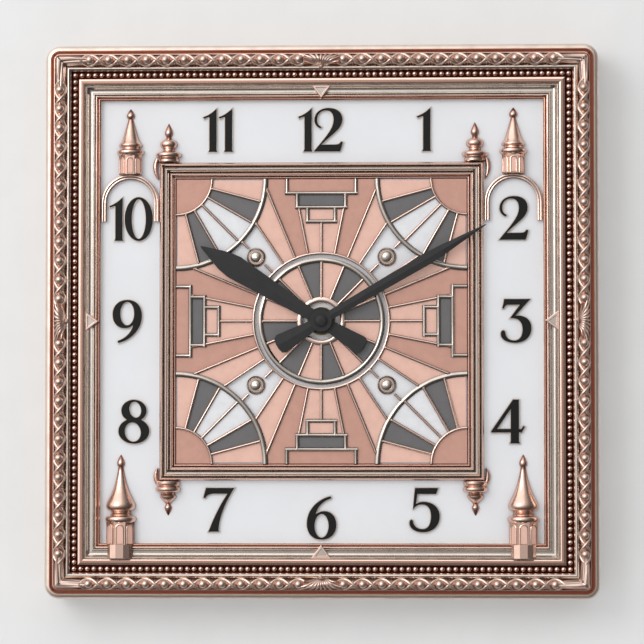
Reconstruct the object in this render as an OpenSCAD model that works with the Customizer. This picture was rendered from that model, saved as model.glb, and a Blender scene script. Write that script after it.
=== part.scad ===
// Square wall clock in the art deco style, in millimetres.
// Face coordinates: x to the right, y up, z out of the wall, zero at the hand axis on the wall plane.
// in_face() turns them into the part's frame: +Z up, front towards -Y, origin at the hanger's hole.

/* [Case] */
// Outer width and height of the case
face_w = 273; // [262:1:290]
// Radius of the four outer corners
corner_r = 7; // [5:0.5:9]
// Width of the rail behind the mouldings, seen from the back
rail_w = 16; // [13.5:0.5:18]
// Thickness of the lip that the dial board is pressed against
lip_t = 2; // [1.5:0.25:3]
// How far the dial board reaches behind the lip
board_lap = 3.7; // [2:0.1:6]
// Gap all round between the dial board and its rebate
board_clear = 0.3; // [0.2:0.1:0.6]
// Rise of the rounded outer edge over the seat of the mouldings
edge_h = 3; // [2.5:0.25:4]

/* [Frame mouldings] */
// Width of the rounded outer edge
edge_w = 2.4; // [2:0.1:3]
// Width of the outer rose fillet
outer_fillet_w = 1.8; // [1.2:0.1:2.4]
// Height of the outer rose fillet over the seat
outer_fillet_h = 4; // [3:0.25:5]
// Width of the leaf and berry moulding
leaf_w = 6.1; // [5:0.1:8]
// Height of the leaf moulding at its edges
leaf_h = 2.6; // [2:0.1:4]
// Extra height at the crown of the leaf moulding
leaf_crown = 2.2; // [1:0.1:3]
// Diameter of one berry
berry_d = 3.7; // [2.5:0.1:4.5]
// Distance from berry to berry
berry_pitch = 9.2; // [7:0.1:12]
// Width of the champagne fillet
champagne_w = 2.4; // [1.8:0.1:3]
// Height of the champagne fillet over the seat
champagne_h = 4.4; // [3.5:0.1:5.5]
// Width of the rail that carries the beads
bead_rail_w = 3.9; // [3.4:0.1:5]
// Height of the bead rail's floor over the seat
bead_floor_h = 1.6; // [1:0.1:2.2]
// Diameter of one bead
bead_d = 2.66; // [2:0.02:2.8]
// Distance from bead to bead
bead_pitch = 3.25; // [3:0.05:4]
// Width of the rose fillet
rose_w = 2.8; // [2:0.1:3.5]
// Height of the rose fillet over the seat
rose_h = 3.6; // [3:0.1:4.5]
// Open line between the rose fillet and the cove
shadow_gap = 0.6; // [0.3:0.1:1]
// Width of the hollow moulding
cove_w = 4.3; // [3:0.1:6]
// Height of the hollow moulding at its outer edge
cove_h = 3; // [2.4:0.1:4]
// Width of the double reed round the dial
sight_w = 2.9; // [2.2:0.1:4]
// Height of the double reed over the seat
sight_h = 1.9; // [1.4:0.1:2.6]
// Width of the keystone at the middle of each side
keystone_w = 10; // [7:0.5:14]

/* [Dial] */
// Thickness of the dial board
board_t = 3; // [2:0.5:5]
// Height of a numeral
numeral_h = 21.5; // [17:0.5:23]
// Thickness of a numeral's metal back
numeral_back_t = 0.9; // [0.5:0.1:1.5]
// Thickness of a numeral's black face
numeral_t = 0.7; // [0.4:0.1:1.2]
// How far the metal back shows round a numeral
numeral_rim = 0.42; // [0.2:0.02:0.6]

/* [Plaque] */
// Clear dial above and below a numeral, between the plaque and the frame
numeral_clear = 4.65; // [3:0.05:6]
// Clear dial between a numeral and the legs of the arch round it
arch_clear = 0.9; // [0.6:0.1:1.5]
// Thickness of the plaque's plate
plaque_t = 1.6; // [1:0.1:2.4]
// Width of the border's outer reed
border_outer_w = 1.8; // [1.2:0.1:2.4]
// Width of the border's middle band
border_mid_w = 2.7; // [2:0.1:3.5]
// Width of the border's inner band
border_inner_w = 3.4; // [2.4:0.1:4.5]
// Height of the border over the plate
border_h = 2.6; // [2:0.1:3]
// Height of the ribs over the plate
rib_h = 2.3; // [1.6:0.1:2.6]
// Width of a fine rib
fine_rib_w = 1.1; // [0.8:0.1:1.4]
// Width of a main rib
main_rib_w = 2.4; // [1.8:0.1:3]
// Thickness of the coloured inlays
inlay_t = 0.9; // [0.5:0.1:1.4]
// Gap between an inlay and the ribs beside it
inlay_clear = 0.1; // [0.05:0.05:0.2]
// Radius of the central roundel, as a share of the field's half width
roundel_share = 0.42; // [0.36:0.01:0.45]
// Clear plate between the nut's washer and the ring round it
hub_ring_clear = 2.4; // [1.8:0.1:4]
// Radius of the fans in the corners, as a share of the field's half width
fan_share = 0.615; // [0.53:0.005:0.64]
// Half width of the lowest step at the middle of each side, as a share of the field's half width
step_w_share = 0.237; // [0.2:0.005:0.26]
// Height of one step, as a share of the field's half height
step_h_share = 0.1; // [0.07:0.005:0.11]
// Radius of the bosses on the diagonals
boss_r = 4.6; // [3.5:0.1:5.5]

/* [Turrets and arches] */
// Radius of an upper turret's drum
turret_r = 5.6; // [4.6:0.1:6.4]
// Length of an upper turret
turret_l = 32.7; // [28:0.1:33]
// Clear dial between a turret and the frame
turret_clear = 3.8; // [1:0.1:5]
// Radius of a lower turret's drum
tower_r = 6.9; // [6:0.1:7.5]
// Length of a lower turret without its plinth
tower_l = 44.6; // [40:0.2:48]
// Length of a lower turret's plinth, which lies over the frame
plinth_l = 6.4; // [5:0.2:7]
// Width of the arches' moulding
arch_w = 2.5; // [2:0.1:2.8]
// Height of the arches' moulding over the dial
arch_h = 2.6; // [2:0.1:3.5]
// Length of the arches' legs
arch_leg = 9; // [5:0.5:14]
// Radius of a corner finial's collar
finial_r = 6.6; // [5.5:0.1:7.2]
// Length of a corner finial
finial_l = 19.6; // [16:0.2:21]

/* [Hands] */
// Length of the hour hand from the axis to its tip
hour_l = 69.9; // [60:0.1:72]
// Greatest width of the hour hand
hour_w = 11.8; // [8:0.1:13]
// Length of the minute hand from the axis to its tip
minute_l = 93.8; // [86:0.1:96]
// Greatest width of the minute hand
minute_w = 6.1; // [5:0.1:8]
// Length of the hands' tails
tail_l = 25; // [18:0.5:28]
// Thickness of a hand
hand_t = 0.8; // [0.5:0.1:1]
// Clear space under each hand
hand_gap = 1.2; // [0.8:0.1:1.6]
// Angle of the hour hand, clockwise from twelve
hour_angle = 301.8; // [0:0.1:360]
// Angle of the minute hand, clockwise from twelve
minute_angle = 59.8; // [0:0.1:360]

/* [Movement] */
// Width and height of the movement
movement_w = 56; // [55:0.5:58]
// Depth of the movement from its cover to its face
movement_d = 15.4; // [15.2:0.1:16.5]
// Wall of the movement's case
movement_wall = 1.4; // [1:0.1:1.6]
// Thickness of the movement's cover
cover_t = 1.6; // [1.4:0.1:2]
// Thickness of the rubber gasket
gasket_t = 1; // [0.5:0.1:2]
// Radius of the threaded bush
bush_r = 4; // [3.6:0.1:4.2]
// Radius of the setting knob
knob_r = 5; // [4:0.25:6]
// Thickness of the setting knob
knob_t = 2; // [1.5:0.1:3]
// Module of the hand-setting wheels
hand_module = 0.35; // [0.345:0.005:0.36]
// Module of the third wheel and the seconds pinion
train_module = 0.3; // [0.295:0.005:0.305]
// Module of the seconds wheel and the intermediate pinion
mid_module = 0.425; // [0.42:0.005:0.43]
// Thickness of a wheel's rim
wheel_t = 0.6; // [0.5:0.05:0.7]
// Radius of a wheel's pivot
pivot_r = 0.5; // [0.4:0.05:0.55]
// Running clearance round a pivot or shaft
run_clear = 0.06; // [0.04:0.01:0.1]
// Diameter of the dry cell in a movement of the standard width
cell_d = 14.5; // [13.8:0.1:14.5]
// Length of the dry cell in a movement of the standard width
cell_l = 50.5; // [49:0.25:50.5]

/* [Hanging and clips] */
// Radius of the hanger's round hole
hanger_r = 4.25; // [3.75:0.05:4.5]
// Thickness of the hanger plate
hanger_t = 1.5; // [1:0.1:2]
// Width of the hanger plate
hanger_w = 44; // [38:1:60]
// Height of the hanger plate
hanger_h = 15; // [13.5:0.25:15.5]
// Thickness of the clips that hold the dial board
clip_t = 1.2; // [0.8:0.1:1.6]
// Width of a clip
clip_w = 9; // [7:0.5:12]
// Length of a clip
clip_l = 14; // [12:0.5:18]

/* [Hidden] */
$fn = 48;
cut = 1;

// Colours
champagne = "#b9ac9c";
rose = "#c98b72";
bronze = "#8d6a58";
white = "#e8e8ea";
blush = "#e8bbaa";
dusky = "#c99a88";
charcoal = "#6a6e6c";
black = "#2a2b2b";
steel = "#b4b6b8";
brass = "#c8a860";
plastic = "#3a3a3c";
rubber = "#202020";
copper = "#b06838";
green = "#2f6b45";

// Levels out from the wall
knob_gap = 0.3;
movement_z = 2 * knob_gap + knob_t;
movement_front = movement_z + movement_d;
board_back = movement_front + gasket_t;
dial_z = board_back + board_t;
seat_z = dial_z + lip_t;
plate_z = dial_z + plaque_t;
washer_t = 0.6;
nut_t = 2;
nut_af = 11;
washer_r = 1.75 * bush_r;
bush_top = plate_z + washer_t + nut_t + 0.1 * nut_t;
rib_top = plate_z + max(rib_h, border_h);
hour_z = max(bush_top, rib_top) + 0.7 * hand_gap;
minute_z = hour_z + hand_t + hand_gap;
cap_h = 2.2;
cap_r = 2.9;

// The inner parts are laid out for a movement of the standard width, and mu is one unit of it
standard_movement = 56;
mu = movement_w / standard_movement;

// Plan of the frame, from the outside in
face_half = face_w / 2;
fillet_d = edge_w;
leaf_d = fillet_d + outer_fillet_w;
champagne_d = leaf_d + leaf_w;
bead_d0 = champagne_d + champagne_w;
rose_d = bead_d0 + bead_rail_w;
cove_d = rose_d + rose_w + shadow_gap;
sight_d = cove_d + cove_w;
sight_half = face_half - sight_d - sight_w;
border_gap = 0.2;
ten_w_share = 1.01;
side_band = ten_w_share * numeral_h + 2 * (arch_w + arch_clear) + 4 * border_gap;
top_band = numeral_h + 2 * numeral_clear;
plaque_x = sight_half - side_band;
plaque_y = sight_half - top_band;
plaque_w = 2 * plaque_x;
plaque_h = 2 * plaque_y;
arch_half = side_band / 2 - 2 * border_gap;
arch_x = plaque_x + side_band / 2;
arch_r = arch_half - arch_w / 2;
turret_y = sight_half - turret_clear - turret_l;
arch_y = turret_y - arch_half;
tower_x = sight_half - 1.22 * tower_r - 0.47 * turret_clear;
board_half = sight_half + board_lap;
rear_half = face_half - rail_w;

// The hanger sits in the middle of the top rail, and its hole is the part's origin
hanger_slot_r = 0.47 * hanger_r;
hanger_rise = 0.8 * hanger_r;
hanger_drop = 0.41 * hanger_r;
hanger_mid_y = face_half - rail_w / 2;
hanger_y = hanger_mid_y - hanger_drop;

module in_face() { rotate([90, 0, 0]) translate([0, -hanger_y, 0]) children(); }
module at_z(z) { translate([0, 0, z]) children(); }
module both_sides() { children(); mirror([1, 0, 0]) children(); }

// A box given by its centre in plan, its lowest level and its three sizes
module block(x, y, z, w, h, t) { translate([x - w / 2, y - h / 2, z]) cube([w, h, t]); }

module rounded_rect(w, h, r) {
    square([w - 2 * r, h], center = true);
    square([w, h - 2 * r], center = true);
    for (x = [-1, 1], y = [-1, 1]) translate([x * (w / 2 - r), y * (h / 2 - r)]) circle(r);
}

// Points of a crown between two edges: it rises from side height h by rise at the middle
function crown(x0, x1, h, rise, n = 8) = [
    for (i = [0 : n]) let (t = i / n)
        [x0 + (x1 - x0) * t, h + rise * sin(180 * t)]
];
// A rounded bar's section, standing on z0 and centred on x
function bar_section(x, w, z0, h) = concat(
    [[x + w / 2, z0], [x - w / 2, z0]],
    crown(x - w / 2, x + w / 2, z0 + 0.45 * h, 0.55 * h, 7)
);

// Four mitred lengths of a section round a rectangle; the section's x runs inward from the edge
module mitred(hx, hy, depth, top) {
    for (side = [0 : 3]) {
        half_len = side % 2 == 0 ? hx : hy;
        reach = side % 2 == 0 ? hy : hx;
        rotate(90 * side) intersection() {
            translate([-half_len, reach, 0]) rotate([90, 0, 90])
                linear_extrude(2 * half_len) mirror([1, 0]) children();
            linear_extrude(top) polygon([
                [-half_len, reach], [half_len, reach],
                [half_len - depth, reach - depth], [depth - half_len, reach - depth]
            ]);
        }
    }
}

// A section led round the case's rounded corners; it stays within the corner radius
module rounded_ring(half) {
    flat = half - corner_r;
    for (side = [0 : 3]) rotate(90 * side) {
        translate([-flat, half, 0]) rotate([90, 0, 90]) linear_extrude(2 * flat)
            mirror([1, 0]) children();
        translate([flat, flat, 0]) rotate_extrude(angle = 90) translate([corner_r, 0])
            mirror([1, 0]) children();
    }
}

// CASE AND FRAME MOULDINGS

module edge_section() {
    top = seat_z + edge_h;
    chamfer = edge_w / 4;
    polygon(concat(
        [[corner_r, 0], [chamfer, 0], [0, chamfer]],
        [for (a = [0 : 10 : 90]) [edge_w - edge_w * cos(a), top - edge_w + edge_w * sin(a)]],
        [[edge_w, seat_z], [corner_r, seat_z]]
    ));
}

module keyhole(r, slot_r) {
    circle(r);
    translate([-slot_r, 0]) square([2 * slot_r, hanger_rise]);
    translate([0, hanger_rise]) circle(slot_r);
}

module clip_places() {
    for (side = [0 : 3], x = [-0.55, 0.55]) rotate(90 * side)
        translate([x * sight_half, ledge_mid, 0]) children();
}
ledge_mid = (board_half + board_clear + rear_half) / 2;
clip_screw_r = 1.4;
clip_screw_l = 7;
hanger_screw_r = 1.6;
hanger_screw_l = 9;
hanger_screw_x = 0.38 * hanger_w;

module case_frame() {
    inner_outer = face_half - corner_r;
    color(champagne) in_face() difference() {
        union() {
            rounded_ring(face_half) edge_section();
            linear_extrude(seat_z) difference() {
                square(2 * inner_outer, center = true);
                square(2 * sight_half, center = true);
            }
        }
        translate([0, 0, board_back - cut]) linear_extrude(board_t + cut)
            square(2 * (board_half + board_clear), center = true);
        at_z(-cut) linear_extrude(board_back + cut) square(2 * rear_half, center = true);
        translate([0, hanger_mid_y, -cut]) linear_extrude(hanger_t + cut)
            square([hanger_w, hanger_h], center = true);
        translate([0, hanger_y, 0]) linear_extrude(3.5 * hanger_t) keyhole(1.12 * hanger_r, hanger_r);
        for (s = [-1, 1]) translate([s * hanger_screw_x, hanger_mid_y, 0])
            cylinder(r = hanger_screw_r, h = hanger_t + hanger_screw_l);
        clip_places() at_z(board_back - cut) cylinder(r = clip_screw_r, h = cut + clip_screw_l / 2);
    }
}

module outer_fillet() {
    d1 = fillet_d + outer_fillet_w;
    color(rose) in_face() rounded_ring(face_half)
        polygon(concat([[d1, seat_z], [fillet_d, seat_z]],
            crown(fillet_d, d1, seat_z + 0.8 * outer_fillet_h, 0.2 * outer_fillet_h, 6)));
}

leaf_mid_half = face_half - leaf_d - leaf_w / 2;
berry_r = berry_d / 2;
berry_foot_z = seat_z + leaf_h + 0.55 * leaf_crown;
berry_rise = 0.5 * leaf_crown;
// The berries stand in a row along each side, clear of the corner leaves and the palmettes
module berry_places() {
    palmette = 1.2 * berry_pitch;
    corner_leaf = 1.6 * berry_pitch;
    run = leaf_mid_half - corner_leaf - palmette;
    n = floor(run / berry_pitch);
    for (side = [0 : 3]) rotate(90 * side) for (s = [-1, 1], i = [0 : n])
        translate([s * (palmette + i * run / n), leaf_mid_half, berry_foot_z]) children();
}

module leaf_moulding() {
    half = face_half - leaf_d;
    r = corner_r - leaf_d;
    top = leaf_h + leaf_crown + cut;
    color(bronze) in_face() difference() {
        intersection() {
            mitred(half, half, leaf_w, seat_z + top)
                polygon(concat([[leaf_w, seat_z], [0, seat_z]],
                    crown(0, leaf_w, seat_z + leaf_h, leaf_crown, 8)));
            at_z(seat_z) linear_extrude(top) rounded_rect(2 * half, 2 * half, r);
        }
        berry_places() cylinder(r = berry_r, h = top);
    }
}

// Each berry is a shallow dome on a round foot, set into the moulding's crown
module leaf_berries() {
    foot = leaf_crown - 0.55 * leaf_crown;
    ball_r = (berry_r * berry_r + berry_rise * berry_rise) / (2 * berry_rise);
    edge = asin(berry_r / ball_r);
    color(rose) in_face() berry_places() rotate_extrude($fn = 24) polygon(concat(
        [[0, 0], [berry_r, 0]],
        [for (t = [1 : -0.2 : 0]) [ball_r * sin(t * edge), foot + berry_rise - ball_r + ball_r * cos(t * edge)]]
    ));
}

module champagne_fillet() {
    half = face_half - champagne_d;
    color(champagne) in_face() mitred(half, half, champagne_w, seat_z + champagne_h + cut)
        polygon(concat([[champagne_w, seat_z], [0, seat_z]],
            crown(0, champagne_w, seat_z + 0.75 * champagne_h, 0.25 * champagne_h, 6)));
}

module bead_rail() {
    half = face_half - bead_d0;
    floor_w = 1.04 * bead_d;
    lip = (bead_rail_w - floor_w) / 2;
    color(bronze) in_face() mitred(half, half, bead_rail_w, seat_z + 2 * bead_floor_h + cut)
        polygon([
            [bead_rail_w, seat_z], [0, seat_z], [0, seat_z + 1.6 * bead_floor_h],
            [lip, seat_z + bead_floor_h], [lip + floor_w, seat_z + bead_floor_h],
            [bead_rail_w, seat_z + 1.6 * bead_floor_h]
        ]);
}

// Each bead is a ball with a small flat, on which it stands
module beads() {
    half = face_half - bead_d0 - bead_rail_w / 2;
    n = floor(2 * half / bead_pitch);
    r = bead_d / 2;
    sunk = 0.35 * r;
    color(rose) in_face() for (side = [0 : 3]) rotate(90 * side) for (i = [0 : n - 1])
        translate([-half + i * 2 * half / n, half, seat_z + bead_floor_h])
            rotate_extrude($fn = 24) intersection() {
                translate([0, sunk]) circle(r);
                square([r, 2 * r]);
            }
}

module rose_fillet() {
    half = face_half - rose_d;
    color(rose) in_face() mitred(half, half, rose_w, seat_z + rose_h + cut)
        polygon(concat([[rose_w, seat_z], [0, seat_z]],
            crown(0, rose_w, seat_z + 0.6 * rose_h, 0.4 * rose_h, 7)));
}

module keystone_2d(grow) {
    half = face_half - cove_d + grow;
    w = keystone_w / 2 + grow;
    drop = cove_w + 0.85 * sight_w + 2 * grow;
    polygon([[-w, half], [w, half], [0, half - drop]]);
}
keystone_clear = 0.1;
module keystone_cuts() {
    for (side = [0 : 3]) rotate(90 * side) at_z(seat_z - cut)
        linear_extrude(cove_h + 2 * cut) keystone_2d(keystone_clear);
}

module cove_moulding() {
    half = face_half - cove_d;
    lip = 0.16 * cove_w;
    low = 0.35 * cove_h;
    hollow_w = cove_w - 2 * lip;
    color(champagne) in_face() difference() {
        mitred(half, half, cove_w, seat_z + cove_h + cut)
            polygon(concat(
                [[cove_w, seat_z], [0, seat_z], [0, seat_z + cove_h], [lip, seat_z + cove_h]],
                [for (a = [10 : 10 : 80]) [lip + hollow_w * (1 - cos(a)),
                    seat_z + cove_h - (cove_h - low) * sin(a)]],
                [[cove_w - lip, seat_z + low], [cove_w, seat_z + low]]
            ));
        keystone_cuts();
    }
}

module sight_moulding() {
    half = face_half - sight_d;
    reed = sight_w / 2;
    color(rose) in_face() difference() {
        mitred(half, half, sight_w, seat_z + sight_h + cut)
            polygon(concat([[sight_w, seat_z], [0, seat_z]],
                crown(0, reed, seat_z + 0.6 * sight_h, 0.4 * sight_h, 5),
                crown(reed, sight_w, seat_z + 0.4 * sight_h, 0.35 * sight_h, 5)));
        keystone_cuts();
    }
}

module side_keystones() {
    half = face_half - cove_d;
    drop = cove_w + 0.85 * sight_w;
    inset = 0.16 * keystone_w;
    color(rose) in_face() for (side = [0 : 3]) rotate(90 * side) {
        at_z(seat_z) linear_extrude(0.7 * cove_h) keystone_2d(0);
        at_z(seat_z + 0.7 * cove_h) linear_extrude(0.3 * cove_h) difference() {
            keystone_2d(0);
            polygon([[inset - keystone_w / 2 + inset, half - inset / 2],
                [keystone_w / 2 - 2 * inset, half - inset / 2], [0, half - drop + 1.5 * inset]]);
        }
    }
}

// DIAL

module dial_board() {
    color(white) in_face() difference() {
        at_z(board_back) linear_extrude(board_t) square(2 * board_half, center = true);
        at_z(board_back - cut) cylinder(r = bush_r + 2 * board_clear, h = board_t + 2 * cut);
    }
}

// A cubic curve from a to d, without its first point
function curve(a, b, c, d, n = 7) = [
    for (i = [1 : n]) let (t = i / n, u = 1 - t)
        u * u * u * a + 3 * u * u * t * b + 3 * u * t * t * c + t * t * t * d
];
function ellipse(c, r, tilt = 0, n = 40) = [
    for (i = [0 : n - 1]) let (a = 360 * i / n, x = r[0] * cos(a), y = r[1] * sin(a))
        c + [x * cos(tilt) - y * sin(tilt), x * sin(tilt) + y * cos(tilt)]
];
// Moves each point of a closed outline outwards by g along its corner's bisector
function grown(pts, g) = let (n = len(pts), turn = sign(signed_area(pts))) [
    for (i = [0 : n - 1]) let (
        p = pts[i],
        u = unit(p - pts[(i + n - 1) % n]), v = unit(pts[(i + 1) % n] - p),
        nu = [u[1], -u[0]], nv = [v[1], -v[0]],
        share = max(1 + nu * nv, 0.45)
    ) p + turn * g * (nu + nv) / share
];
function unit(v) = v / norm(v);
function signed_area(pts, i = 0, sum = 0) = i == len(pts) ? sum : let (
    a = pts[i], b = pts[(i + 1) % len(pts)]
) signed_area(pts, i + 1, sum + a[0] * b[1] - a[1] * b[0]);

// Outlines of the figures, in shares of the numeral's height
one_share = concat(
    [[0.125, 0], [0.145, 0.05], [0.145, 0.8]],
    curve([0.145, 0.8], [0.11, 0.81], [0.06, 0.785], [0.02, 0.765], 3),
    [[0, 0.8]],
    curve([0, 0.8], [0.1, 0.83], [0.22, 0.9], [0.31, 1], 6),
    [[0.307, 0.05], [0.327, 0]]
);
two_share = concat(
    [[0.6, 0]],
    curve([0.6, 0], [0.62, 0.04], [0.655, 0.13], [0.665, 0.215], 4),
    [[0.62, 0.225]],
    curve([0.62, 0.225], [0.6, 0.17], [0.56, 0.155], [0.48, 0.155], 4),
    [[0.17, 0.155]],
    curve([0.17, 0.155], [0.4, 0.4], [0.655, 0.5], [0.655, 0.74], 8),
    curve([0.655, 0.74], [0.655, 0.9], [0.53, 1], [0.345, 1], 8),
    curve([0.345, 1], [0.13, 1], [0.01, 0.87], [0.01, 0.72], 8),
    curve([0.01, 0.72], [0.01, 0.63], [0.07, 0.56], [0.15, 0.53], 5),
    [[0.175, 0.565]],
    curve([0.175, 0.565], [0.1, 0.6], [0.075, 0.65], [0.075, 0.74], 5),
    curve([0.075, 0.74], [0.075, 0.87], [0.16, 0.945], [0.27, 0.945], 6),
    curve([0.27, 0.945], [0.4, 0.945], [0.455, 0.86], [0.455, 0.72], 6),
    curve([0.455, 0.72], [0.455, 0.5], [0.2, 0.25], [0, 0], 8)
);
three_share = concat(
    [[0.035, 0.79]], curve([0.035, 0.79], [0.055, 0.86], [0.07, 0.93], [0.08, 1], 3),
    [[0.675, 1], [0.335, 0.62]],
    curve([0.335, 0.62], [0.57, 0.64], [0.7, 0.52], [0.7, 0.33], 8),
    curve([0.7, 0.33], [0.7, 0.13], [0.54, 0], [0.33, 0], 8),
    curve([0.33, 0], [0.13, 0], [0, 0.08], [0, 0.2], 6),
    curve([0, 0.2], [0, 0.25], [0.02, 0.28], [0.055, 0.285], 3),
    curve([0.055, 0.285], [0.085, 0.285], [0.1, 0.27], [0.105, 0.22], 3),
    curve([0.105, 0.22], [0.12, 0.11], [0.2, 0.05], [0.31, 0.05], 6),
    curve([0.31, 0.05], [0.43, 0.05], [0.5, 0.15], [0.5, 0.31], 6),
    curve([0.5, 0.31], [0.5, 0.47], [0.41, 0.58], [0.215, 0.565], 7),
    [[0.44, 0.872], [0.16, 0.872]],
    curve([0.16, 0.872], [0.11, 0.865], [0.09, 0.83], [0.075, 0.785], 4)
);
four_share = [
    [0.43, 0], [0.655, 0], [0.635, 0.05], [0.635, 0.25], [0.7, 0.25], [0.77, 0.385],
    [0.735, 0.395], [0.69, 0.33], [0.635, 0.33], [0.635, 1], [0.5, 1], [0, 0.275],
    [0.005, 0.25], [0.45, 0.25], [0.45, 0.05]
];
four_hole_share = [[0.45, 0.33], [0.135, 0.33], [0.45, 0.79]];
five_share = concat(
    [[0.126, 1], [0.655, 1], [0.605, 0.865], [0.178, 0.865], [0.15, 0.635]],
    curve([0.15, 0.635], [0.2, 0.67], [0.25, 0.685], [0.316, 0.685], 4),
    curve([0.316, 0.685], [0.54, 0.685], [0.69, 0.55], [0.69, 0.35], 8),
    curve([0.69, 0.35], [0.69, 0.14], [0.53, -0.01], [0.316, -0.01], 8),
    curve([0.316, -0.01], [0.12, -0.01], [0, 0.08], [0, 0.2], 6),
    curve([0, 0.2], [0, 0.245], [0.015, 0.27], [0.045, 0.275], 3),
    curve([0.045, 0.275], [0.07, 0.275], [0.078, 0.25], [0.082, 0.215], 3),
    curve([0.082, 0.215], [0.11, 0.12], [0.19, 0.06], [0.3, 0.06], 6),
    curve([0.3, 0.06], [0.42, 0.06], [0.494, 0.17], [0.494, 0.36], 6),
    curve([0.494, 0.36], [0.494, 0.53], [0.42, 0.625], [0.29, 0.625], 6),
    curve([0.29, 0.625], [0.19, 0.625], [0.13, 0.58], [0.08, 0.515], 5)
);
six_share = concat(
    [[0.54, 0.99]],
    curve([0.54, 0.99], [0.24, 0.92], [0, 0.68], [0, 0.36], 12),
    curve([0, 0.36], [0, 0.14], [0.13, 0], [0.33, 0], 8),
    curve([0.33, 0], [0.53, 0], [0.673, 0.13], [0.673, 0.335], 8),
    curve([0.673, 0.335], [0.673, 0.53], [0.56, 0.65], [0.4, 0.65], 7),
    curve([0.4, 0.65], [0.32, 0.65], [0.26, 0.625], [0.2, 0.575], 4),
    curve([0.2, 0.575], [0.23, 0.75], [0.38, 0.89], [0.56, 0.945], 7)
);
seven_share = concat(
    [[0.06, 1], [0.71, 1]],
    curve([0.71, 1], [0.47, 0.62], [0.37, 0.35], [0.345, 0.05], 8),
    [[0.36, 0], [0.115, 0], [0.14, 0.05]],
    curve([0.14, 0.05], [0.24, 0.32], [0.39, 0.62], [0.555, 0.868], 8),
    [[0.2, 0.868]],
    curve([0.2, 0.868], [0.12, 0.86], [0.07, 0.83], [0.04, 0.765], 4),
    [[0, 0.775]]
);
// Each figure: its width, its solid outlines and its holes, in shares of the height
function figure_shares(n) =
    n == 0 ? [0.65, [ellipse([0.325, 0.5], [0.325, 0.505])], [ellipse([0.325, 0.5], [0.165, 0.455])]]
    : n == 1 ? [0.33, [one_share], []]
    : n == 2 ? [0.665, [two_share], []]
    : n == 3 ? [0.7, [three_share], []]
    : n == 4 ? [0.77, [four_share], [four_hole_share]]
    : n == 5 ? [0.69, [five_share], []]
    : n == 6 ? [0.673, [six_share], [ellipse([0.337, 0.315], [0.163, 0.27])]]
    : n == 7 ? [0.71, [seven_share], []]
    : n == 8 ? [0.71, [ellipse([0.355, 0.752], [0.29, 0.252]), ellipse([0.355, 0.285], [0.355, 0.29])],
        [ellipse([0.385, 0.775], [0.135, 0.185], 14), ellipse([0.33, 0.262], [0.185, 0.222], 12)]]
    : [0.673, [turned(six_share, 0.673)], [turned(ellipse([0.337, 0.315], [0.163, 0.27]), 0.673)]];
function turned(pts, w) = [for (p = pts) [w - p[0], 1 - p[1]]];

module figure(n, grow) {
    shares = figure_shares(n);
    difference() {
        union() for (o = shares[1]) polygon(grown(numeral_h * o, grow));
        for (o = shares[2]) polygon(grown(numeral_h * o, -grow));
    }
}

// Centres of the twelve numerals, from one to twelve: the upper and lower ones lie in the bands
// above and below the plaque, the others in the bands beside it, under the arches and over the turrets
top_at = sight_half - top_band / 2;
side_at = sight_half - side_band / 2;
corner_at = 0.633 * plaque_x;
high_at = arch_y - 0.36 * numeral_h;
low_at = -sight_half + tower_l + 0.71 * numeral_h;
upper_at = top_at + 0.04 * numeral_h;
numeral_places = [
    [corner_at, upper_at], [side_at, high_at], [side_at + 0.05 * numeral_h, 0],
    [side_at - 0.14 * numeral_h, low_at], [corner_at, 0.05 * numeral_h - top_at],
    [0, -top_at - 0.13 * numeral_h], [-corner_at, 0.05 * numeral_h - top_at],
    [0.09 * numeral_h - side_at, low_at], [-side_at - 0.07 * numeral_h, 0],
    [0.01 * numeral_h - side_at, high_at], [-corner_at - 0.03 * numeral_h, upper_at],
    [-0.025 * numeral_h, upper_at]
];
figure_gap_share = 0.03;
module numeral_2d(hour, grow) {
    digits = hour < 10 ? [hour] : [1, hour - 10];
    widths = [for (d = digits) figure_shares(d)[0]];
    total = len(digits) == 1 ? widths[0] : widths[0] + widths[1] + figure_gap_share;
    translate(numeral_places[hour - 1] - numeral_h * [total, 1] / 2) {
        figure(digits[0], grow);
        if (len(digits) > 1)
            translate([numeral_h * (widths[0] + figure_gap_share), 0]) figure(digits[1], grow);
    }
}
module numeral_backs() {
    color(rose) in_face() at_z(dial_z) for (hour = [1 : 12])
        linear_extrude(numeral_back_t) numeral_2d(hour, numeral_rim);
}
module numerals() {
    color(black) in_face() at_z(dial_z + numeral_back_t) for (hour = [1 : 12])
        linear_extrude(numeral_t) numeral_2d(hour, 0);
}

// PLAQUE: a plate, a triple border, coloured inlays and raised ribs over a sunburst

border_w = border_outer_w + border_mid_w + border_inner_w + 2 * border_gap;
field_x = plaque_x - border_w;
field_y = plaque_y - border_w;
rays = 32;
petals = 16;
fan_parts = 6;
roundel_r = roundel_share * field_x;
hub_ring_r = washer_r + hub_ring_clear + main_rib_w / 2;
fan_r = fan_share * field_x;
step_w = step_w_share * field_x;
step_h = step_h_share * field_y;
fan_inner_r = 0.4 * fan_r;
ring_out_r = roundel_r + main_rib_w / 2;
second_ring_r = ring_out_r + 0.9 * main_rib_w;
sun_r = second_ring_r + fine_rib_w / 2;
boss_place_share = 0.45;
boss_place = boss_place_share * [field_x, field_y];
steps = 3;
step_narrow = 0.3 * step_w;

module plaque_plate() {
    color(white) in_face() difference() {
        at_z(dial_z) linear_extrude(plaque_t) square([plaque_w, plaque_h], center = true);
        at_z(dial_z - cut) cylinder(r = bush_r + 2 * board_clear, h = plaque_t + 2 * cut);
    }
}

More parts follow.
